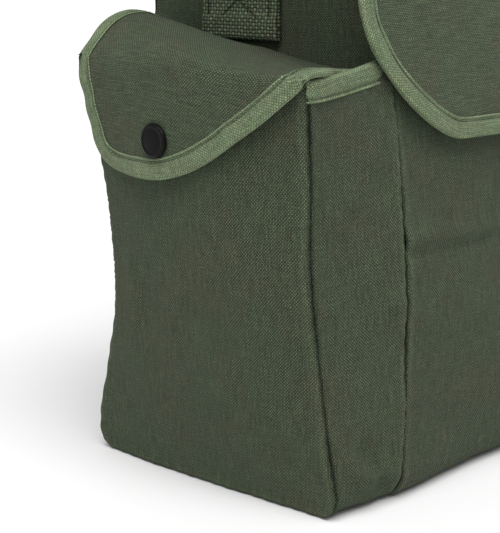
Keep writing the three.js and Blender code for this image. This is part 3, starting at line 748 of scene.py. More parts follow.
# Twill tape: fine slanting ribs over the weave.
twill, twill_in, twill_out = new_group(
    "Slanting rib",
    [("Vector", "NodeSocketVector", None), ("Rib pitch", "NodeSocketFloat", 0.0013)],
    [("Height", "NodeSocketFloat")],
)
place = add_node(twill, "ShaderNodeSeparateXYZ", {0: twill_in["Vector"]}).outputs
slant = maths(twill, "MULTIPLY_ADD", place["X"], 0.8, place["Y"])
turns = maths(twill, "DIVIDE", slant, twill_in["Rib pitch"])
rib = maths(twill, "SINE", maths(twill, "MULTIPLY", turns, 2 * math.pi))
feed(twill_out, {"Height": remap(twill, rib, -0.8, 0.8, 0.0, 1.0)})

binding_tape = woven_material(
    "binding_tape",
    green=(0.170, 0.228, 0.128),
    brown=(0.186, 0.224, 0.130),
    pitch=(0.00085, 0.0008),
    patch_size=0.012,
    gap_dark=0.5,
    under_dark=0.72,
    relief_height=0.0003,
)
tape_tree = binding_tape.node_tree
tape_map = add_node(tape_tree, "ShaderNodeUVMap", uv_map="cloth")
ribs = add_node(tape_tree, "ShaderNodeGroup", {"Vector": tape_map}, node_tree=twill)
rib_share = remap(tape_tree, ribs.outputs["Height"], 0, 1, 0.2, 0.0)
tape_shader = tape_tree.nodes["Principled BSDF"].inputs
plain_colour = tape_shader["Base Color"].links[0].from_socket
feed(tape_shader, {"Base Color": blend_colours(tape_tree, rib_share, plain_colour, (0.08, 0.12, 0.06, 1))})


def smoothed(path, reach):
    """A path with its corners rounded: each point is the mean of those within reach of it."""
    before = 2 * path[:1] - path[reach:0:-1]
    after = 2 * path[-1:] - path[-2 : -reach - 2 : -1]
    padded = np.concatenate([before, path, after])
    window = np.hanning(2 * reach + 3)[1:-1]
    window /= window.sum()
    return np.stack([np.convolve(padded[:, k], window, mode="valid")[: len(path)] for k in range(3)], axis=-1)


def along_path(path, lengths, stops):
    """The points of a path at some lengths along it."""
    return np.stack([np.interp(stops, lengths, path[:, k]) for k in range(3)], axis=-1)


def evenly_spaced(path, step):
    """A path with its points an even step apart."""
    lengths = run_along(path)
    stops = np.linspace(0, lengths[-1], round(lengths[-1] / step) + 1)
    return along_path(path, lengths, stops)


mouth_step = 0.0008


def mouth_line(depth):
    """Middle of the wall round the pocket's mouth at a depth below it, seen from above."""
    z = mouth_top - depth
    across = np.linspace(0.02, 0.99, 40)
    rise = mouth_rise * (1 - across) ** 1.5
    front_y = lerp(body_front(half_width, z + rise), pocket_front(z + rise), across) + canvas / 2
    back_y = lerp(body_back(half_width, z + rise), pocket_back(z + rise), across) - canvas / 2
    front_x = lerp(-half_width - seam_gap, pocket_seam_x(0, z), across)
    back_x = lerp(-half_width - seam_gap, pocket_seam_x(1, z), across)
    front = np.stack([front_x, front_y, rise], axis=-1)
    back = np.stack([back_x, back_y, rise], axis=-1)[::-1]
    share = np.linspace(0, 1, 80)
    face_line_y = lerp(pocket_front(z) + canvas / 2, pocket_back(z) - canvas / 2, share)
    face = np.stack([face_x(share, z) + canvas / 2, face_line_y, 0 * share], axis=-1)
    return smoothed(evenly_spaced(np.concatenate([front, face, back]), mouth_step), 4)


top_line = mouth_line(0)
low_line = mouth_line(tape_width)
low_line = along_path(low_line, np.linspace(0, 1, len(low_line)), np.linspace(0, 1, len(top_line)))
mouth_lengths = np.arange(len(top_line)) * mouth_step


def mouth_at(depth, offset):
    """A line round the mouth at a depth below its rim and an offset out of the cloth, and its way out."""
    share = depth / tape_width
    line = lerp(top_line, low_line, share)
    way = unit(np.gradient(line[:, :2], axis=0))
    out = np.stack([way[:, 1], -way[:, 0]], axis=-1)
    wave = np.sin(mouth_lengths / 0.0041 + np.sin(mouth_lengths / 0.013) * 2)
    buckle = 0.0003 * wave * np.clip(share, 0, 1)
    place_xy = line[:, :2] + out * (offset + buckle)[:, None]
    points = np.column_stack([place_xy, mouth_top - depth + line[:, 2]])
    return points, np.column_stack([out, np.zeros(len(out))])


mouth_loops = np.stack([mouth_at(depth, offset)[0] for depth, offset in loop_section], axis=1)

for side, sign in sides:
    mouth_tape = tape_piece(
        f"{side}_mouth_tape", mirrored(mouth_loops, sign), mouth_lengths, f"{side}_pocket_mouth_binding"
    )


# Stitches. Cotton thread, seen as a row of short arched lengths that dip into the cloth at both ends. One
# Geometry Nodes tree sets them along any line.

stitch_row, row_in, row_out = new_group(
    "Row of stitches",
    [
        ("Line", "NodeSocketGeometry", None),
        ("Pitch", "NodeSocketFloat", 0.0032),
        ("Length", "NodeSocketFloat", 0.0026),
        ("Radius", "NodeSocketFloat", 0.00028),
        ("Arch", "NodeSocketFloat", 0.0005),
        ("Seed", "NodeSocketInt", 7),
        ("Thread", "NodeSocketMaterial", None),
    ],
    [("Stitches", "NodeSocketGeometry")],
    "GeometryNodeTree",
)
stitch_inputs = {socket.name: socket.identifier for socket in stitch_row.interface.items_tree}

# One stitch: an arch of thread over the cloth.
half_length = maths(stitch_row, "MULTIPLY", row_in["Length"], 0.5)
half_back = maths(stitch_row, "MULTIPLY", half_length, -1.0)
twice_arch = maths(stitch_row, "MULTIPLY", row_in["Arch"], 2.0)
thread_start = add_node(stitch_row, "ShaderNodeCombineXYZ", {"X": half_back})
thread_top = add_node(stitch_row, "ShaderNodeCombineXYZ", {"Z": twice_arch})
thread_end = add_node(stitch_row, "ShaderNodeCombineXYZ", {"X": half_length})
arch_feeds = {"Resolution": 4, "Start": thread_start, "Middle": thread_top, "End": thread_end}
thread_curve = add_node(stitch_row, "GeometryNodeCurveQuadraticBezier", arch_feeds)
round_feeds = {"Resolution": 6, "Radius": row_in["Radius"]}
thread_round = add_node(stitch_row, "GeometryNodeCurvePrimitiveCircle", round_feeds)
piece_feeds = {"Curve": thread_curve, "Profile Curve": thread_round, "Fill Caps": True}
thread_piece = add_node(stitch_row, "GeometryNodeCurveToMesh", piece_feeds)

# Its copies: one at each pitch along the line, square to the cloth and a little uneven.
sewn_line = add_node(stitch_row, "GeometryNodeMeshToCurve", {0: row_in["Line"]})
point_feeds = {"Curve": sewn_line, "Length": row_in["Pitch"]}
sewn_points = add_node(stitch_row, "GeometryNodeResampleCurve", point_feeds, mode="LENGTH")
tangent = add_node(stitch_row, "GeometryNodeInputTangent")
along_line = add_node(stitch_row, "FunctionNodeAlignRotationToVector", {"Vector": tangent}, axis="X")
out_of_cloth = add_node(
    stitch_row, "GeometryNodeInputNamedAttribute", {"Name": "out"}, data_type="FLOAT_VECTOR"
)
upright = add_node(
    stitch_row,
    "FunctionNodeAlignRotationToVector",
    {"Rotation": along_line, "Vector": out_of_cloth},
    axis="Z",
    pivot_axis="X",
)
uneven_size = add_node(
    stitch_row,
    "FunctionNodeRandomValue",
    {0: (0.86, 0.9, 0.7), 1: (1.06, 1.1, 1.15), "Seed": row_in["Seed"]},
    data_type="FLOAT_VECTOR",
)
copy_feeds = {"Points": sewn_points, "Instance": thread_piece, "Rotation": upright, "Scale": uneven_size}
set_along = add_node(stitch_row, "GeometryNodeInstanceOnPoints", copy_feeds)
made_real = add_node(stitch_row, "GeometryNodeRealizeInstances", {0: set_along})
thread_feeds = {"Geometry": made_real, "Material": row_in["Thread"]}
feed(row_out, {0: add_node(stitch_row, "GeometryNodeSetMaterial", thread_feeds)})


def thread_material(name, colour):
    """Cotton thread, unevenly dark."""
    material, tree, shader = new_material(name)
    spot = add_node(tree, "ShaderNodeTexCoord").outputs["Object"]
    uneven = remap(tree, noise_in(tree, spot, 1500.0), 0.3, 0.7, 0.0, 1.0)
    dark = [0.45 * part for part in colour]
    feed(
        shader,
        {
            "Base Color": blend_colours(tree, uneven, (*dark, 1), (*colour, 1)),
            "Roughness": remap(tree, uneven, 0.0, 1.0, 0.95, 0.75),
            "Specular IOR Level": 0.2,
        },
    )
    return material


def sew(name, rows, material, pitch=0.0032, radius=0.00028):
    """Stitches along each of some lines; a row is its points and the ways out of the cloth there."""
    points = np.concatenate([row[0] for row in rows])
    outs = np.concatenate([row[1] for row in rows]).astype(np.float32)
    edges = []
    start = 0
    for line, _ in rows:
        edges += [(start + k, start + k + 1) for k in range(len(line) - 1)]
        start += len(line)
    mesh = bpy.data.meshes.new(name + "_line")
    mesh.from_pydata(points.tolist(), edges, [])
    mesh.attributes.new("out", "FLOAT_VECTOR", "POINT").data.foreach_set("vector", outs.ravel())
    line_object = bpy.data.objects.new(name + "_line", mesh)
    bpy.context.scene.collection.objects.link(line_object)
    stitching = line_object.modifiers.new("stitching", "NODES")
    stitching.node_group = stitch_row
    for socket_name, value in (
        ("Pitch", pitch),
        ("Length", 0.82 * pitch),
        ("Radius", radius),
        ("Arch", 1.4 * radius),
        ("Seed", 7),
        ("Thread", material),
    ):
        stitching[stitch_inputs[socket_name]] = value
    finished = line_object.evaluated_get(bpy.context.evaluated_depsgraph_get())
    sewn = bpy.data.meshes.new_from_object(finished)
    sewn.name = name
    line_object.modifiers.remove(stitching)
    bpy.data.objects.remove(line_object)
    bpy.data.meshes.remove(mesh)
    sewn.polygons.foreach_set("use_smooth", np.ones(len(sewn.polygons), dtype=bool))
    return set_in_place(name, sewn, material)


tape_thread = thread_material("tape_thread", (0.15, 0.21, 0.12))
seam_thread = thread_material("seam_thread", (0.028, 0.034, 0.022))
groove_height = 0.00128
thread_lift = 0.0002

mouth_row, mouth_out = mouth_at(stitch_line, groove_height)
# The seams between face and gusset, and between gusset and end panel, show as a row of dark thread.
seam_z = np.linspace(mouth_top - tape_width - 0.001, pocket_radius, 160)
bag_z = np.linspace(mouth_top - 0.002, base_radius, 160)
seam_rows = []
for share, way, pocket_side in ((0, -1, pocket_front), (1, 1, pocket_back)):
    outer_x = pocket_seam_x(share, seam_z) - thread_lift
    outer_line = np.stack([outer_x, pocket_side(seam_z), seam_z], axis=-1)
    seam_rows.append((outer_line, np.tile([-0.6, 0.8 * way, 0], (len(seam_z), 1))))
for way, body_side in ((-1, body_front), (1, body_back)):
    inner_y = body_side(half_width, bag_z) - way * thread_lift
    inner_line = np.stack([np.full_like(bag_z, -half_width), inner_y, bag_z], axis=-1)
    seam_rows.append((inner_line, np.tile([0, way, 0], (len(bag_z), 1))))

for side, sign in sides:
    mouth_rows = [(mirrored(mouth_row, sign), mirrored(mouth_out, sign))]
    sew(f"{side}_mouth_stitches", mouth_rows, tape_thread)
    rows = [(mirrored(line, sign), mirrored(out, sign)) for line, out in seam_rows]
    sew(f"{side}_seam_stitches", rows, seam_thread, 0.0030, 0.00026)


# Pocket flaps. A piece of canvas sewn to the end panel above each pocket. It goes over the mouth and down
# the face, where its lower edge is a rounded tongue.

flap_shoulder_z = pocket_height + 0.003
flap_drop = 0.0515
flap_standoff = 0.005
flap_centre = 0.005

# The pocket flap at its front and its back edge: half width at the seam and at the shoulder as shares of
# half the base depth, the rises of the seam and the dome as shares of pocket_reach, how square the dome's
# shoulder is, how far out the dome stays level, how far the shoulder leans in, and how full the lower
# corner is.
flap_shape = {
    "seam": (0.81, 0.69),
    "shoulder": (0.98, 0.66),
    "seam_rise": (0.07, 0.15),
    "dome_rise": (0.095, 0.325),
    "square": (2.0, 0.4),
    "reach": (0.75, 0.5),
    "lean": (0.0, 0.1),
    "roundness": (1.7, 7),
}


def edge_value(across, name):
    """A value of flap_shape: the front edge's before the middle, the back edge's behind it."""
    return np.where(across < 0, *flap_shape[name])


def places_of(across, down):
    """Places on a flap as two arrays of one shape."""
    return np.broadcast_arrays(np.asarray(across, float), np.asarray(down, float))


def pocket_flap_end(across):
    """How far down the flap's cloth reaches: 2 in the middle, less towards its edges."""
    across = np.clip(np.abs(across), 0, 1) * np.sign(across)
    return 2 - np.abs(across) ** edge_value(across, "roundness")


def pocket_flap_buckle(across, down):
    """How far the loose edge of the flap waves in and out."""
    loose = np.clip(down / pocket_flap_end(across), 0, 1) ** 6
    rim = np.clip(np.abs(across), 0, 1) ** 3
    waves = np.sin(down * 9.5 + across * 3.0) * 0.6 + np.sin(down * 21 - across * 6.0 + 1.0) * 0.4
    tongue = np.sin(across * 7.5 + 0.8)
    return 0.0013 * rim * waves + 0.0014 * loose * tongue


def pocket_flap_at(across, down):
    """Middle of the flap's cloth. across runs from -1, the front edge, to 1, the back edge; down from 0 at
    the seam over the dome to 1 at the shoulder, and on to 2 at the lowest point."""
    across, down = places_of(across, down)
    half = lerp(edge_value(across, "seam"), edge_value(across, "shoulder"), eased(down))
    y = flap_centre + across * half_depth * half

    def face_at(z):
        share = np.clip((y - pocket_front(z)) / (pocket_back(z) - pocket_front(z)), 0, 1)
        return face_x(share, z) - flap_standoff

    z = flap_shoulder_z - np.maximum(down - 1, 0) * flap_drop
    on_face = np.stack([face_at(z), y, z], axis=-1)
    seam_x0 = -half_width - seam_gap - canvas / 2
    shoulder_x = face_at(flap_shoulder_z + 0 * y)

    def between(name):
        return lerp(*flap_shape[name], eased((across + 1) / 2))

    seam_z = pocket_height + pocket_reach * between("seam_rise")
    crown = pocket_height + pocket_reach * between("dome_rise")
    outer = lerp(flap_shoulder_z, crown, between("square"))
    inner = (crown - (seam_z + flap_shoulder_z) / 8) / 0.375 - outer
    t = np.clip(down, 0, 1)
    weights = [(1 - t) ** 3, 3 * t * (1 - t) ** 2, 3 * t**2 * (1 - t), t**3]
    leaning_x = lerp(shoulder_x, seam_x0, between("lean"))
    xs = [seam_x0, lerp(seam_x0, shoulder_x, between("reach")), leaning_x, shoulder_x]
    zs = [seam_z, inner, outer, flap_shoulder_z]
    x_over = sum(w * x for w, x in zip(weights, xs))
    z_over = sum(w * v for w, v in zip(weights, zs))
    over = np.stack([x_over, y, z_over], axis=-1)
    return np.where((down >= 1)[..., None], on_face, over)


# How far the front edge of the flap sinks and stands forward on its way over the pocket's corner, in metres,
# at places from the seam down.
front_sag = np.array(
    [
        [0.00, 0.0058, 0.0000],
        [0.15, 0.0050, 0.0018],
        [0.27, 0.0042, 0.0035],
        [0.40, 0.0038, 0.0050],
        [0.50, 0.0038, 0.0042],
        [0.60, 0.0040, 0.0030],
        [0.75, 0.0040, 0.0012],
        [0.90, 0.0036, 0.0004],
        [1.00, 0.0034, 0.0000],
        [1.15, 0.0026, 0.0000],
        [1.33, 0.0018, 0.0000],
        [1.60, 0.0000, 0.0000],
    ]
)


def pocket_flap_surface(across, down):
    """The flap with its loose edge buckled, and its front edge sunk over the corner of the pocket."""
    across, down = places_of(across, down)
    wave = pocket_flap_buckle(across, down) * np.clip(down, 0, 1)
    towards_front = np.clip((-across - 0.08) / 0.8, 0, 1)
    sunk = from_table(front_sag, down, 1) * np.sin(0.5 * np.pi * towards_front)
    forward = from_table(front_sag, down, 2) * np.clip((-across - 0.5) / 0.5, 0, 1)
    lifted = pocket_flap_at(across, down)
    round_corner = 0.0007 * np.clip((-across - 0.7) / 0.3, 0, 1) * np.exp(-(((down - 1) / 0.3) ** 2))
    lifted[..., 0] -= wave * np.clip(down - 0.3, 0, 1) + round_corner
    lifted[..., 1] -= forward
    lifted[..., 2] += wave * (1 - np.clip(down, 0, 1)) * 0.7 - sunk
    return lifted


def surface_frame(surface, across, down):
    """Position, the two directions and the unit normal of a flap's surface at each place."""
    step = 1e-3
    above = np.maximum(down - step, 0)
    by_across = (surface(across + step, down) - surface(across - step, down)) / (2 * step)
    by_down = (surface(across, down + step) - surface(across, above)) / (down + step - above)[..., None]
    return surface(across, down), by_across, by_down, unit(np.cross(by_across, by_down))


def walk_over(surface, across, down, direction, distance):
    """The place reached by going a distance over a surface in a direction, in a few short steps."""
    steps = 5
    for _ in range(steps):
        _, by_across, by_down, _ = surface_frame(surface, across, down)
        aa = np.sum(by_across**2, axis=-1)
        ad = np.sum(by_across * by_down, axis=-1)
        dd = np.sum(by_down**2, axis=-1)
        a = np.sum(by_across * direction, axis=-1)
        d = np.sum(by_down * direction, axis=-1)
        scale = distance / steps / (aa * dd - ad * ad)
        across = across + (a * dd - d * ad) * scale
        down = np.maximum(down + (d * aa - a * ad) * scale, 0)
    return across, down


def corner_places(corner_from, corner_steps, middle_steps):
    """Places across a flap, closer together where its lower corners are round."""
    corner = lerp(corner_from, 1, np.sin(np.linspace(0, np.pi / 2, corner_steps + 1)))
    middle = np.linspace(-corner_from, corner_from, middle_steps + 1)[1:-1]
    return np.concatenate([-corner[::-1], middle, corner])


def flap_grid(surface, end_at, places, over_to, over_steps, below_steps):
    """Rows across the flap and columns down it: the same for all rows as far as over_to, then shares of
    the way to the free edge."""
    over = np.linspace(0, over_to, over_steps + 1)
    below = np.linspace(0, 1, below_steps + 1)[1:]
    to_edge = lerp(over_to, end_at(places)[:, None], below)
    down = np.concatenate([np.tile(over, (len(places), 1)), to_edge], axis=1)
    across = np.repeat(places[:, None], down.shape[1], axis=1)
    return across, down, surface(across, down)


def flap_edge(surface, end_at, tape_from, step):
    """Places along the free edge of a flap, an even step apart: down one side, round and up the other."""
    front_end, back_end = end_at(np.array([-1.0, 1.0]))
    middle = corner_places(0.4, 300, 300)[1:-1]
    across = np.concatenate([-np.ones(200), middle, np.ones(200)])
    front_side = np.linspace(tape_from, front_end, 200)
    back_side = np.linspace(tape_from, back_end, 200)[::-1]
    down = np.concatenate([front_side, end_at(middle), back_side])
    lengths = run_along(surface(across, down))
    stops = np.linspace(0, lengths[-1], round(lengths[-1] / step) + 1)
    even = along_path(np.stack([across, down, lengths], axis=-1), lengths, stops)
    return smoothed(even, 4).T


def bound_edge(surface, end_at, tape_from, step):
    """Loops of tape folded over a flap's edge, their lengths along it, and a function that gives the
    places on the tape at a distance from the edge."""
    across, down, lengths = flap_edge(surface, end_at, tape_from, step)
    point, _, _, normal = surface_frame(surface, across, down)
    way = unit(np.gradient(smoothed(point, 3), axis=0))
    inward = unit(np.cross(way, normal))

    def at_distance(distance):
        if distance <= 0:
            return point + inward * distance, normal
        there = walk_over(surface, across, down, inward, distance)
        place, _, _, up = surface_frame(surface, *there)
        return place, up

    uneven = 0.00018 * np.sin(lengths / 0.0052 + 2.0 * np.sin(lengths / 0.017))
    columns = []
    for distance, offset in loop_section:
        place, up = at_distance(distance)
        # Only the outer side of the tape is uneven; its inner side lies on the cloth.
        loose = uneven * np.sign(offset) * (abs(offset) > 0.0012)
        columns.append(place + up * (offset + loose)[:, None])
    return np.stack(columns, axis=1), lengths, at_distance


pocket_tape_from = 0.04
pocket_tape_step = 0.0016
flap_places = corner_places(0.45, 34, 44)
flap_across, flap_down, flap_points = flap_grid(
    pocket_flap_surface, pocket_flap_end, flap_places, 0.9, 32, 28
)
flap_relief = 0.0007 * unevenness(flap_points, 0.03, 4.4) * np.sin(np.pi * np.clip(flap_down / 2, 0, 1))
# The cloth lies flat inside its tape.
flap_relief *= 1 - np.clip(np.abs(flap_across), 0, 1) ** 6
flap_relief *= 1 - np.clip(flap_down / pocket_flap_end(flap_across), 0, 1) ** 6
flap_outer = flap_points + cloth_normals(flap_points) * (canvas / 2 + flap_relief)[..., None]
flap_loops, flap_lengths, flap_tape_at = bound_edge(
    pocket_flap_surface, pocket_flap_end, pocket_tape_from, pocket_tape_step
)
flap_sewn, flap_sewn_out = flap_tape_at(stitch_line)
flap_row = flap_sewn + flap_sewn_out * groove_height

for side, sign in sides:
    # The flap's cloth is painted a little lighter all over, a painted light for the light it catches.
    flap_cloth = cloth_piece(
        f"{side}_flap_cloth", mirrored(flap_outer, sign), sign * canvas, 0.25, f"{side}_pocket_flap"
    )
    flap_tape = tape_piece(
        f"{side}_flap_tape", mirrored(flap_loops, sign), flap_lengths, f"{side}_pocket_flap_binding"
    )
    flap_rows = [(mirrored(flap_row, sign), mirrored(flap_sewn_out, sign))]
    sew(f"{side}_flap_stitches", flap_rows, tape_thread)


# Pocket snaps. A black lacquered brass cap is set through each flap; its post reaches the cloth behind.

snap_diameter = 0.0164
post_diameter = 0.005
snap_above_edge = 0.0172
pocket_snap_forward = 0.0047


def snap_mesh(name, seat, turn, post):
    """A turned cap with a rolled rim and a dished middle, on a post. turn is the rotation to its axis."""
    rim = snap_diameter / 2
    profile = np.array(
        [
            [0.0, -post],
            [post_diameter / 2, -post],
            [post_diameter / 2, seam_gap],
            [rim - 0.0010, seam_gap],
            [rim - 0.0003, seam_gap + 0.0002],
            [rim, seam_gap + 0.0007],
            [rim, seam_gap + 0.0012],
            [rim - 0.0003, seam_gap + 0.0017],
            [rim - 0.0009, seam_gap + 0.0022],
            [rim - 0.0015, seam_gap + 0.0024],
            [rim - 0.0019, seam_gap + 0.00235],
            [rim - 0.0022, seam_gap + 0.0022],
            [rim - 0.0027, seam_gap + 0.00225],
            [0.0030, seam_gap + 0.0025],
            [0.0, seam_gap + 0.00258],
        ]
    )
    facets = 64
    angle = np.linspace(0, 2 * np.pi, facets, endpoint=False)
    ring = np.stack([np.cos(angle), np.sin(angle)], axis=-1)
    rings = profile[1:-1]
    flat = rings[:, None, :1] * ring[None]
    heights = np.repeat(rings[:, 1:, None], facets, axis=1)
    points = np.concatenate([flat, heights], axis=-1).reshape(-1, 3)
    points = np.concatenate([points, [[0, 0, profile[0, 1]], [0, 0, profile[-1, 1]]]])
    points = points @ np.array(turn.to_3x3()).T + np.array(seat)
    index = np.arange(len(rings) * facets).reshape(-1, facets)
    following = np.roll(index, -1, axis=1)
    faces = strip(index[:-1], following[:-1], following[1:], index[1:]).tolist()
    low = index.size
    high = low + 1
    last = low - facets
    for j, k in zip(index[0].tolist(), following[0].tolist()):
        faces += [(k, j, low), (last + j, last + k, high)]
    mesh = bpy.data.meshes.new(name)
    mesh.from_pydata(points.tolist(), [], faces)
    # The rolled rim is marked for scuffed wear and a painted highlight.
    wear_and_painted_light = np.zeros(len(points), dtype=np.float32)
    wear_and_painted_light[7 * facets : 10 * facets] = 1
    mesh.attributes.new("wear_and_painted_light", "FLOAT", "POINT").data.foreach_set("value", wear_and_painted_light)
    mesh.polygons.foreach_set("use_smooth", np.ones(len(mesh.polygons), dtype=bool))
    mesh.set_sharp_from_angle(angle=math.radians(50))
    return mesh


black_snap, snap_tree, snap_shader = new_material("snap")
snap_place = add_node(snap_tree, "ShaderNodeTexCoord").outputs["Object"]
snap_rim_wear_and_painted_highlight = add_node(snap_tree, "ShaderNodeAttribute", attribute_name="wear_and_painted_light").outputs["Fac"]
scuffs = noise_in(snap_tree, snap_place, 700.0, 5.0)
# The rim is painted lighter in scuffed patches: wear, and a painted highlight.
rim_wear_and_painted_highlight = maths(snap_tree, "MULTIPLY", snap_rim_wear_and_painted_highlight, remap(snap_tree, scuffs, 0.42, 0.62, 0.1, 0.75))
dents = noise_in(snap_tree, snap_place, 300.0, 3.0)
snap_bump = add_node(snap_tree, "ShaderNodeBump", {"Strength": 0.3, "Distance": 0.0001, "Height": dents})
feed(
    snap_shader,
    {
        "Base Color": blend_colours(snap_tree, rim_wear_and_painted_highlight, (0.0022, 0.0018, 0.0018, 1), (0.014, 0.013, 0.012, 1)),
        "Roughness": remap(snap_tree, scuffs, 0.3, 0.7, 0.38, 0.55),
        "Metallic": 0.0,
        "Specular IOR Level": 0.11,
        "Normal": snap_bump,
    },
)


def turned_to(out):
    """The matrix that turns +Z to a unit vector and keeps +X level."""
    side = np.cross([0, 0, 1.0], out)
    side /= np.linalg.norm(side)
    return Matrix([side.tolist(), np.cross(out, side).tolist(), out.tolist()]).transposed().to_4x4()


def seat_of(surface, across, down, outward):
    """Where a snap sits on a flap's outer face, and the matrix that turns +Z out of it."""
    place, _, _, normal = surface_frame(surface, np.array([across]), np.array([down]))
    out = normal[0] * outward
    return place[0] + out * canvas / 2, turned_to(out)


pocket_snap_seat, pocket_snap_turn = seat_of(
    pocket_flap_surface, -pocket_snap_forward / half_depth, 2 - snap_above_edge / flap_drop, 1
)
pocket_post = flap_standoff + canvas / 2 - seam_gap
for side, _ in sides:
    mesh = snap_mesh(f"{side}_snap_cap", pocket_snap_seat, pocket_snap_turn, pocket_post)
    if side == "right":
        mesh.transform(Matrix.Scale(-1, 4, (1, 0, 0)))
        mesh.flip_normals()
    set_in_place(f"{side}_snap_cap", mesh, black_snap, f"{side}_pocket_snap")


# Main flap. One wide piece of canvas is sewn to the top of the back, goes over the mouth of the bag and
# down the front; its lower corners are cut round.

flap_overhang = 0.020
main_shoulder_drop = 0.026
main_drop = 0.109
main_corner_width = 0.060
main_corner_height = 0.060
main_corner_roundness = 1.6
main_lap = 0.020
main_standoff = 0.006
main_crown = 0.011
main_shoulder = body_height - main_shoulder_drop
main_bottom = body_height - main_drop
main_half_width = half_width + flap_overhang


def smooth_curve(controls, t):
    """Points at t, from 0 to 1, on a centripetal Catmull-Rom curve through controls of shape (..., n, 3)."""
    last = controls.shape[-2] - 1
    first = 2 * controls[..., :1, :] - controls[..., 1:2, :]
    final = 2 * controls[..., -1:, :] - controls[..., -2:-1, :]
    knots = np.concatenate([first, controls, final], axis=-2)
    at = np.clip(t, 0, 1) * last
    i = np.minimum(np.floor(at).astype(int), last - 1)
    w = (at - i)[..., None]

    def knot(k):
        return np.take_along_axis(knots, (i + k)[..., None, None] * np.ones(3, int), axis=-2)[..., 0, :]

    p0, p1, p2, p3 = knot(0), knot(1), knot(2), knot(3)
    spans = (np.linalg.norm(span, axis=-1, keepdims=True) for span in (p1 - p0, p2 - p1, p3 - p2))
    d0, d1, d2 = (np.maximum(span, 1e-9) ** 0.5 for span in spans)
    m1 = ((p1 - p0) / d0 - (p2 - p0) / (d0 + d1) + (p2 - p1) / d1) * d1
    m2 = ((p2 - p1) / d1 - (p3 - p1) / (d1 + d2) + (p3 - p2) / d2) * d1
    return (
        p1
        + m1 * w
        + (-3 * p1 + 3 * p2 - 2 * m1 - m2) * w**2
        + (2 * p1 - 2 * p2 + m1 + m2) * w**3
    )


def main_flap_at(across, down):
    """Middle of the main flap's cloth. across runs from -1 to 1 along the width; down from 0 at the seam
    on the back over the top to 1 at the front shoulder, and on to 2 at the lower edge."""
    across, down = places_of(across, down)
    x = across * main_half_width

    def on_front(z):
        z = z + 0 * x
        return np.stack([x, body_front(x, z) - main_standoff, z], axis=-1)

    def on_back(z, height):
        z = z + 0 * x
        return np.stack([x, body_back(x, z) + 2 * seam_gap + canvas / 2, height + 0 * x], axis=-1)

    crown = main_crown * (0.8 + 0.2 * (1 - np.clip(x / half_width, -1, 1) ** 2))

    def on_top(share, rise):
        y = lerp(body_back(x, body_height + 0 * x), body_front(x, body_height + 0 * x), share)
        return np.stack([x, y, body_height + rise * crown], axis=-1)

    front_top = on_front(body_height)
    front_top[..., 2] = body_height + 0.25 * crown
    controls = np.stack(
        [
            on_back(body_height - main_lap, body_height - main_lap),
            on_back(body_height - main_lap / 3, body_height - main_lap / 3),
            on_back(body_height, body_height + 0.3 * crown),
            on_top(0.07, 0.85),
            on_top(0.35, 1.0),
            on_top(0.65, 1.0),
            on_top(0.9, 0.8),
            front_top,
            on_front(lerp(main_shoulder, body_height, 0.5)),
            on_front(main_shoulder),
            on_front(main_shoulder - main_shoulder_drop),
        ],
        axis=-2,
    )
    n = controls.shape[-2]
    over = smooth_curve(controls, np.clip(down, 0, 1) * (n - 2) / (n - 1))
    below = on_front(lerp(main_shoulder, main_bottom, np.maximum(down - 1, 0)))
    return np.where((down >= 1)[..., None], below, over)


def main_flap_surface(across, down):
    """The main flap with its sides drooping over the ends and its lower edge waving a little."""
    lifted = main_flap_at(across, down)
    across, down = places_of(across, down)
    rim = np.clip(np.abs(across), 0, 1) ** 8
    low = np.clip(down / 2, 0, 1) ** 8
    side_wave = np.sin(down * 8.0 + 1.2 * np.sign(across)) * rim
    low_wave = np.sin(across * 13.0 + 0.7) * low
    hanging = eased((down - 0.5) * 2)
    lifted[..., 1] -= 0.0012 * (side_wave + low_wave) * hanging
    lifted[..., 2] -= 0.0030 * rim * (1 - hanging) * np.clip(down * 4, 0, 1)
    return lifted


main_corner_start = 1 - main_corner_width / main_half_width


def main_flap_end(across):
    into = np.clip((np.abs(across) - main_corner_start) / (1 - main_corner_start), 0, 1)
    uncut = (1 - into**main_corner_roundness) ** (1 / main_corner_roundness)
    rise = main_corner_height * (1 - uncut)
    return 2 - rise / (main_shoulder - main_bottom)


main_tape_step = 0.002
main_places = corner_places(main_corner_start, 40, 84)
main_across, main_down, main_points = flap_grid(
    main_flap_surface, main_flap_end, main_places, 1.0, 66, 36
)
main_relief = 0.0012 * unevenness(main_points, 0.06, 9.9) + 0.0004 * unevenness(main_points, 0.02, 2.9)
main_inside = np.clip((main_flap_end(main_across) - main_down) * 8, 0, 1)
main_relief *= np.clip(main_down * 3, 0, 1) * main_inside * np.clip((1 - np.abs(main_across)) * 16, 0, 1)
main_outer = main_points - cloth_normals(main_points) * (canvas / 2 + main_relief)[..., None]
main_loops, main_lengths, main_tape_at = bound_edge(main_flap_surface, main_flap_end, 0.0, main_tape_step)

# The main flap's cloth is painted lighter all over, a painted light for the light it catches.
main_cloth = cloth_piece("main_flap_cloth", main_outer, canvas, 0.5, "main_flap")
main_tape = tape_piece("main_flap_tape", main_loops, main_lengths, "main_flap_binding")
main_sewn, main_sewn_up = main_tape_at(stitch_line)
main_rows = [(main_sewn - main_sewn_up * groove_height, -main_sewn_up)]
# Two rows hold the flap to the back.
lap_across = np.linspace(-0.86, 0.86, 300)
for lap_down in (0.012, 0.05):
    lap_place, _, _, lap_normal = surface_frame(main_flap_surface, lap_across, np.full(300, lap_down))
    main_rows.append((lap_place - lap_normal * (canvas / 2 + 0.0003), -lap_normal))
sew("main_flap_stitches", main_rows, tape_thread)

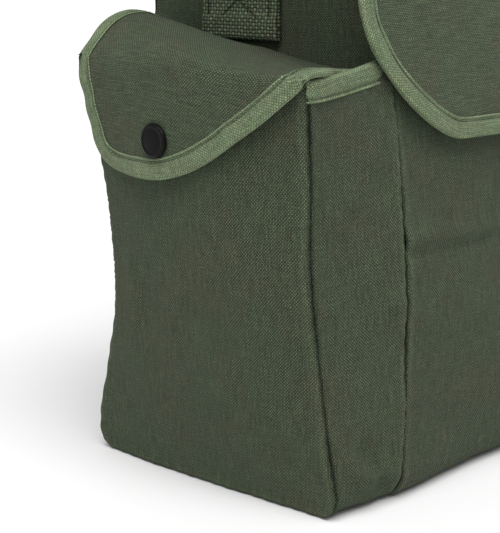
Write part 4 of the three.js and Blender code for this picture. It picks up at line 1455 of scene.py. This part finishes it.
main_snap_down = 2 - snap_above_edge / (main_shoulder - main_bottom)
main_snap_seat, main_snap_turn = seat_of(main_flap_surface, 0.0, main_snap_down, -1)
main_post = main_standoff + canvas / 2 - seam_gap
main_snap_mesh = snap_mesh("main_snap_cap", main_snap_seat, main_snap_turn, main_post)
set_in_place("main_snap_cap", main_snap_mesh, black_snap, "main_flap_snap")


# Shoulder strap. A length of coarse cotton webbing. Each end is turned under and sewn to an end panel; the
# rest rises past the flap's sides and falls behind the bag.

strap_width = 0.050
strap_thickness = 0.003
strap_sewn_from = 0.2135
strap_sewn_length = 0.046
strap_centre = 0.014
strap_clearance = 0.0015
strap_lift = 0.016

# The way the strap falls: how far out, back and up it is as shares of half the width, half the base depth
# and the height of the bag, and the turn of its width from the depth direction in degrees.
strap_fall = np.array(
    [
        [1.125, 0.24, 1.130, 26],
        [1.135, 0.46, 1.200, 56],
        [1.105, 0.78, 1.235, 78],
        [1.040, 1.11, 1.200, 80],
        [0.900, 1.33, 1.090, 62],
        [0.680, 1.37, 0.940, 36],
        [0.560, 1.33, 0.760, 13],
        [0.480, 1.31, 0.560, 2],
        [0.400, 1.31, 0.360, 0],
        [0.240, 1.31, 0.200, 0],
    ]
)
on_panel = half_width + seam_gap + strap_thickness / 2
past_flap = main_half_width + tape_slack + tape + strap_thickness / 2 + strap_clearance
sewn_top = strap_sewn_from + strap_sewn_length
right_stops = [
    [on_panel + 0.001 * share**4, strap_centre, lerp(strap_sewn_from, sewn_top, share), 0]
    for share in (0, 0.4, 0.8, 1)
]
right_stops += [
    [lerp(on_panel, past_flap, 0.55), strap_centre, lerp(sewn_top, body_height, 0.6), 0],
    [past_flap, strap_centre, body_height + strap_clearance, 2],
    [past_flap + 2 * strap_clearance, strap_centre + strap_clearance, body_height + strap_lift, 9],
]
right_stops = np.concatenate([right_stops, strap_fall * [half_width, half_depth, body_height, 1]])
left_stops = right_stops * [-1, 1, 1, -1]
lowest_stop = np.array([[0, right_stops[-1, 1], right_stops[-1, 2] * 0.68, 0]])
strap_stops = np.concatenate([left_stops, lowest_stop, right_stops[::-1]])
strap_angles = np.radians(strap_stops[:, 3])
strap_widths = np.stack([np.sin(strap_angles), np.cos(strap_angles), 0 * strap_angles], axis=-1)
# More stations at both ends, where the webbing is folded under.
end_t = np.array([0.0003, 0.0007, 0.0013, 0.0021])
strap_t = np.unique(np.concatenate([np.linspace(0, 1, 460), end_t, 1 - end_t]))
strap_line = smooth_curve(np.tile(strap_stops[:, :3], (len(strap_t), 1, 1)), strap_t)
strap_across = smooth_curve(np.tile(strap_widths, (len(strap_t), 1, 1)), strap_t)
strap_way = unit(np.gradient(strap_line, axis=0))
strap_across -= np.sum(strap_across * strap_way, axis=1, keepdims=True) * strap_way
strap_across = unit(strap_across)
strap_through = np.cross(strap_way, strap_across)
strap_lengths = run_along(strap_line)

# The webbing's section: two flat faces with round selvedges.
web_half = strap_width / 2
web_thick = 0.0013
web_round = 0.0012
face_places = np.linspace(-web_half + web_round, web_half - web_round, 19)
turns = np.linspace(-np.pi / 2, np.pi / 2, 7)[1:-1]
right_round = np.stack([web_half - web_round + web_round * np.cos(turns), web_thick * np.sin(turns)], axis=-1)
web_section = np.concatenate(
    [
        np.stack([face_places, np.full(19, -web_thick)], axis=-1),
        right_round,
        np.stack([face_places[::-1], np.full(19, web_thick)], axis=-1),
        right_round * [-1, -1],
    ]
)
to_strap_end = np.minimum(strap_lengths, strap_lengths[-1] - strap_lengths)
folded_under = 1 + 0.75 * (1 - eased((to_strap_end - 0.010) / 0.004))
folded_under *= np.sqrt(1 - (1 - np.clip(to_strap_end / 0.0022, 0.02, 1)) ** 2)
strap_loops = (
    strap_line[:, None]
    + web_section[None, :, :1] * strap_across[:, None]
    + web_section[None, :, 1:] * strap_through[:, None] * folded_under[:, None, None]
)
strap_webbing = woven_material(
    "webbing",
    green=(0.115, 0.155, 0.090),
    brown=(0.130, 0.150, 0.092),
    pitch=(0.0019, 0.0017),
    patch_size=0.015,
    gap_dark=0.16,
    under_dark=0.85,
    relief_height=0.0010,
)
strap_mesh = swept("strap_webbing", strap_loops, web_section[:, 0], strap_lengths, 0, len(web_section) // 2)
set_in_place("strap_webbing", strap_mesh, strap_webbing, "shoulder_strap")

# Each end is sewn down in a box with a cross.
box = np.array([[-1, 0], [1, 0], [1, 1], [-1, 1], [-1, 0], [1, 1], [1, 0], [-1, 1]])
box_points = box * [web_half - 0.005, strap_sewn_length - 0.016] + [0, 0.005]
box_line = evenly_spaced(np.column_stack([np.zeros(len(box)), box_points]), 0.001)
for side, sign in sides:
    box_x = sign * (on_panel + web_thick * 1.15 + thread_lift)
    box_row = box_line * [0, 1, 1] + [box_x, strap_centre, strap_sewn_from]
    box_out = np.tile([sign, 0, 0], (len(box_row), 1))
    sew(f"{side}_strap_stitches", [(box_row, box_out)], seam_thread)


# Floor, light and camera. A plain pale floor and soft light from above and in front.

floor_mesh = bpy.data.meshes.new("floor")
floor_mesh.from_pydata([(-30, -30, 0), (30, -30, 0), (30, 30, 0), (-30, 30, 0)], [], [(0, 1, 2, 3)])
floor = bpy.data.objects.new("floor", floor_mesh)
bpy.context.scene.collection.objects.link(floor)
floor_paint, _, floor_shader = new_material("floor_paint")
feed(floor_shader, {"Base Color": (0.86, 0.86, 0.86, 1), "Roughness": 1.0})
floor_mesh.materials.append(floor_paint)

world = bpy.data.worlds.new("studio")
bpy.context.scene.world = world
world.use_nodes = True
feed(world.node_tree.nodes["Background"].inputs, {"Color": (1, 1, 1, 1), "Strength": 0.44})


def soft_light(name, away, spread, strength):
    """A wide soft sun. away points from the bag to it, and spread is how wide it is, in degrees."""
    lamp = bpy.data.lights.new(name, "SUN")
    lamp.angle = math.radians(spread)
    lamp.energy = strength
    fixture = bpy.data.objects.new(name, lamp)
    fixture.matrix_world = turned_to(np.array(away) / np.linalg.norm(away))
    bpy.context.scene.collection.objects.link(fixture)


soft_light("key_light", (-0.37, -0.37, 1.0), 50, 3.0)

# The photograph's camera, found from the bag's own seams: azimuth, height angle, place and focal length.
camera_azimuth = math.radians(-47.53)
camera_elevation = math.radians(12.27)
camera_place = (-0.71957, -0.47523, 0.25627)
image_long_side = 533
focal_pixels = 1454.72
sensor_width = 36
camera_data = bpy.data.cameras.new("camera")
camera_data.sensor_width = sensor_width
camera_data.lens = sensor_width * focal_pixels / image_long_side
camera = bpy.data.objects.new("camera", camera_data)
camera_back = np.array(
    [
        math.sin(camera_azimuth) * math.cos(camera_elevation),
        -math.cos(camera_azimuth) * math.cos(camera_elevation),
        math.sin(camera_elevation),
    ]
)
camera.matrix_world = Matrix.Translation(camera_place) @ turned_to(camera_back)
bpy.context.scene.collection.objects.link(camera)
bpy.context.scene.camera = camera
bpy.context.scene.view_settings.view_transform = "Standard"
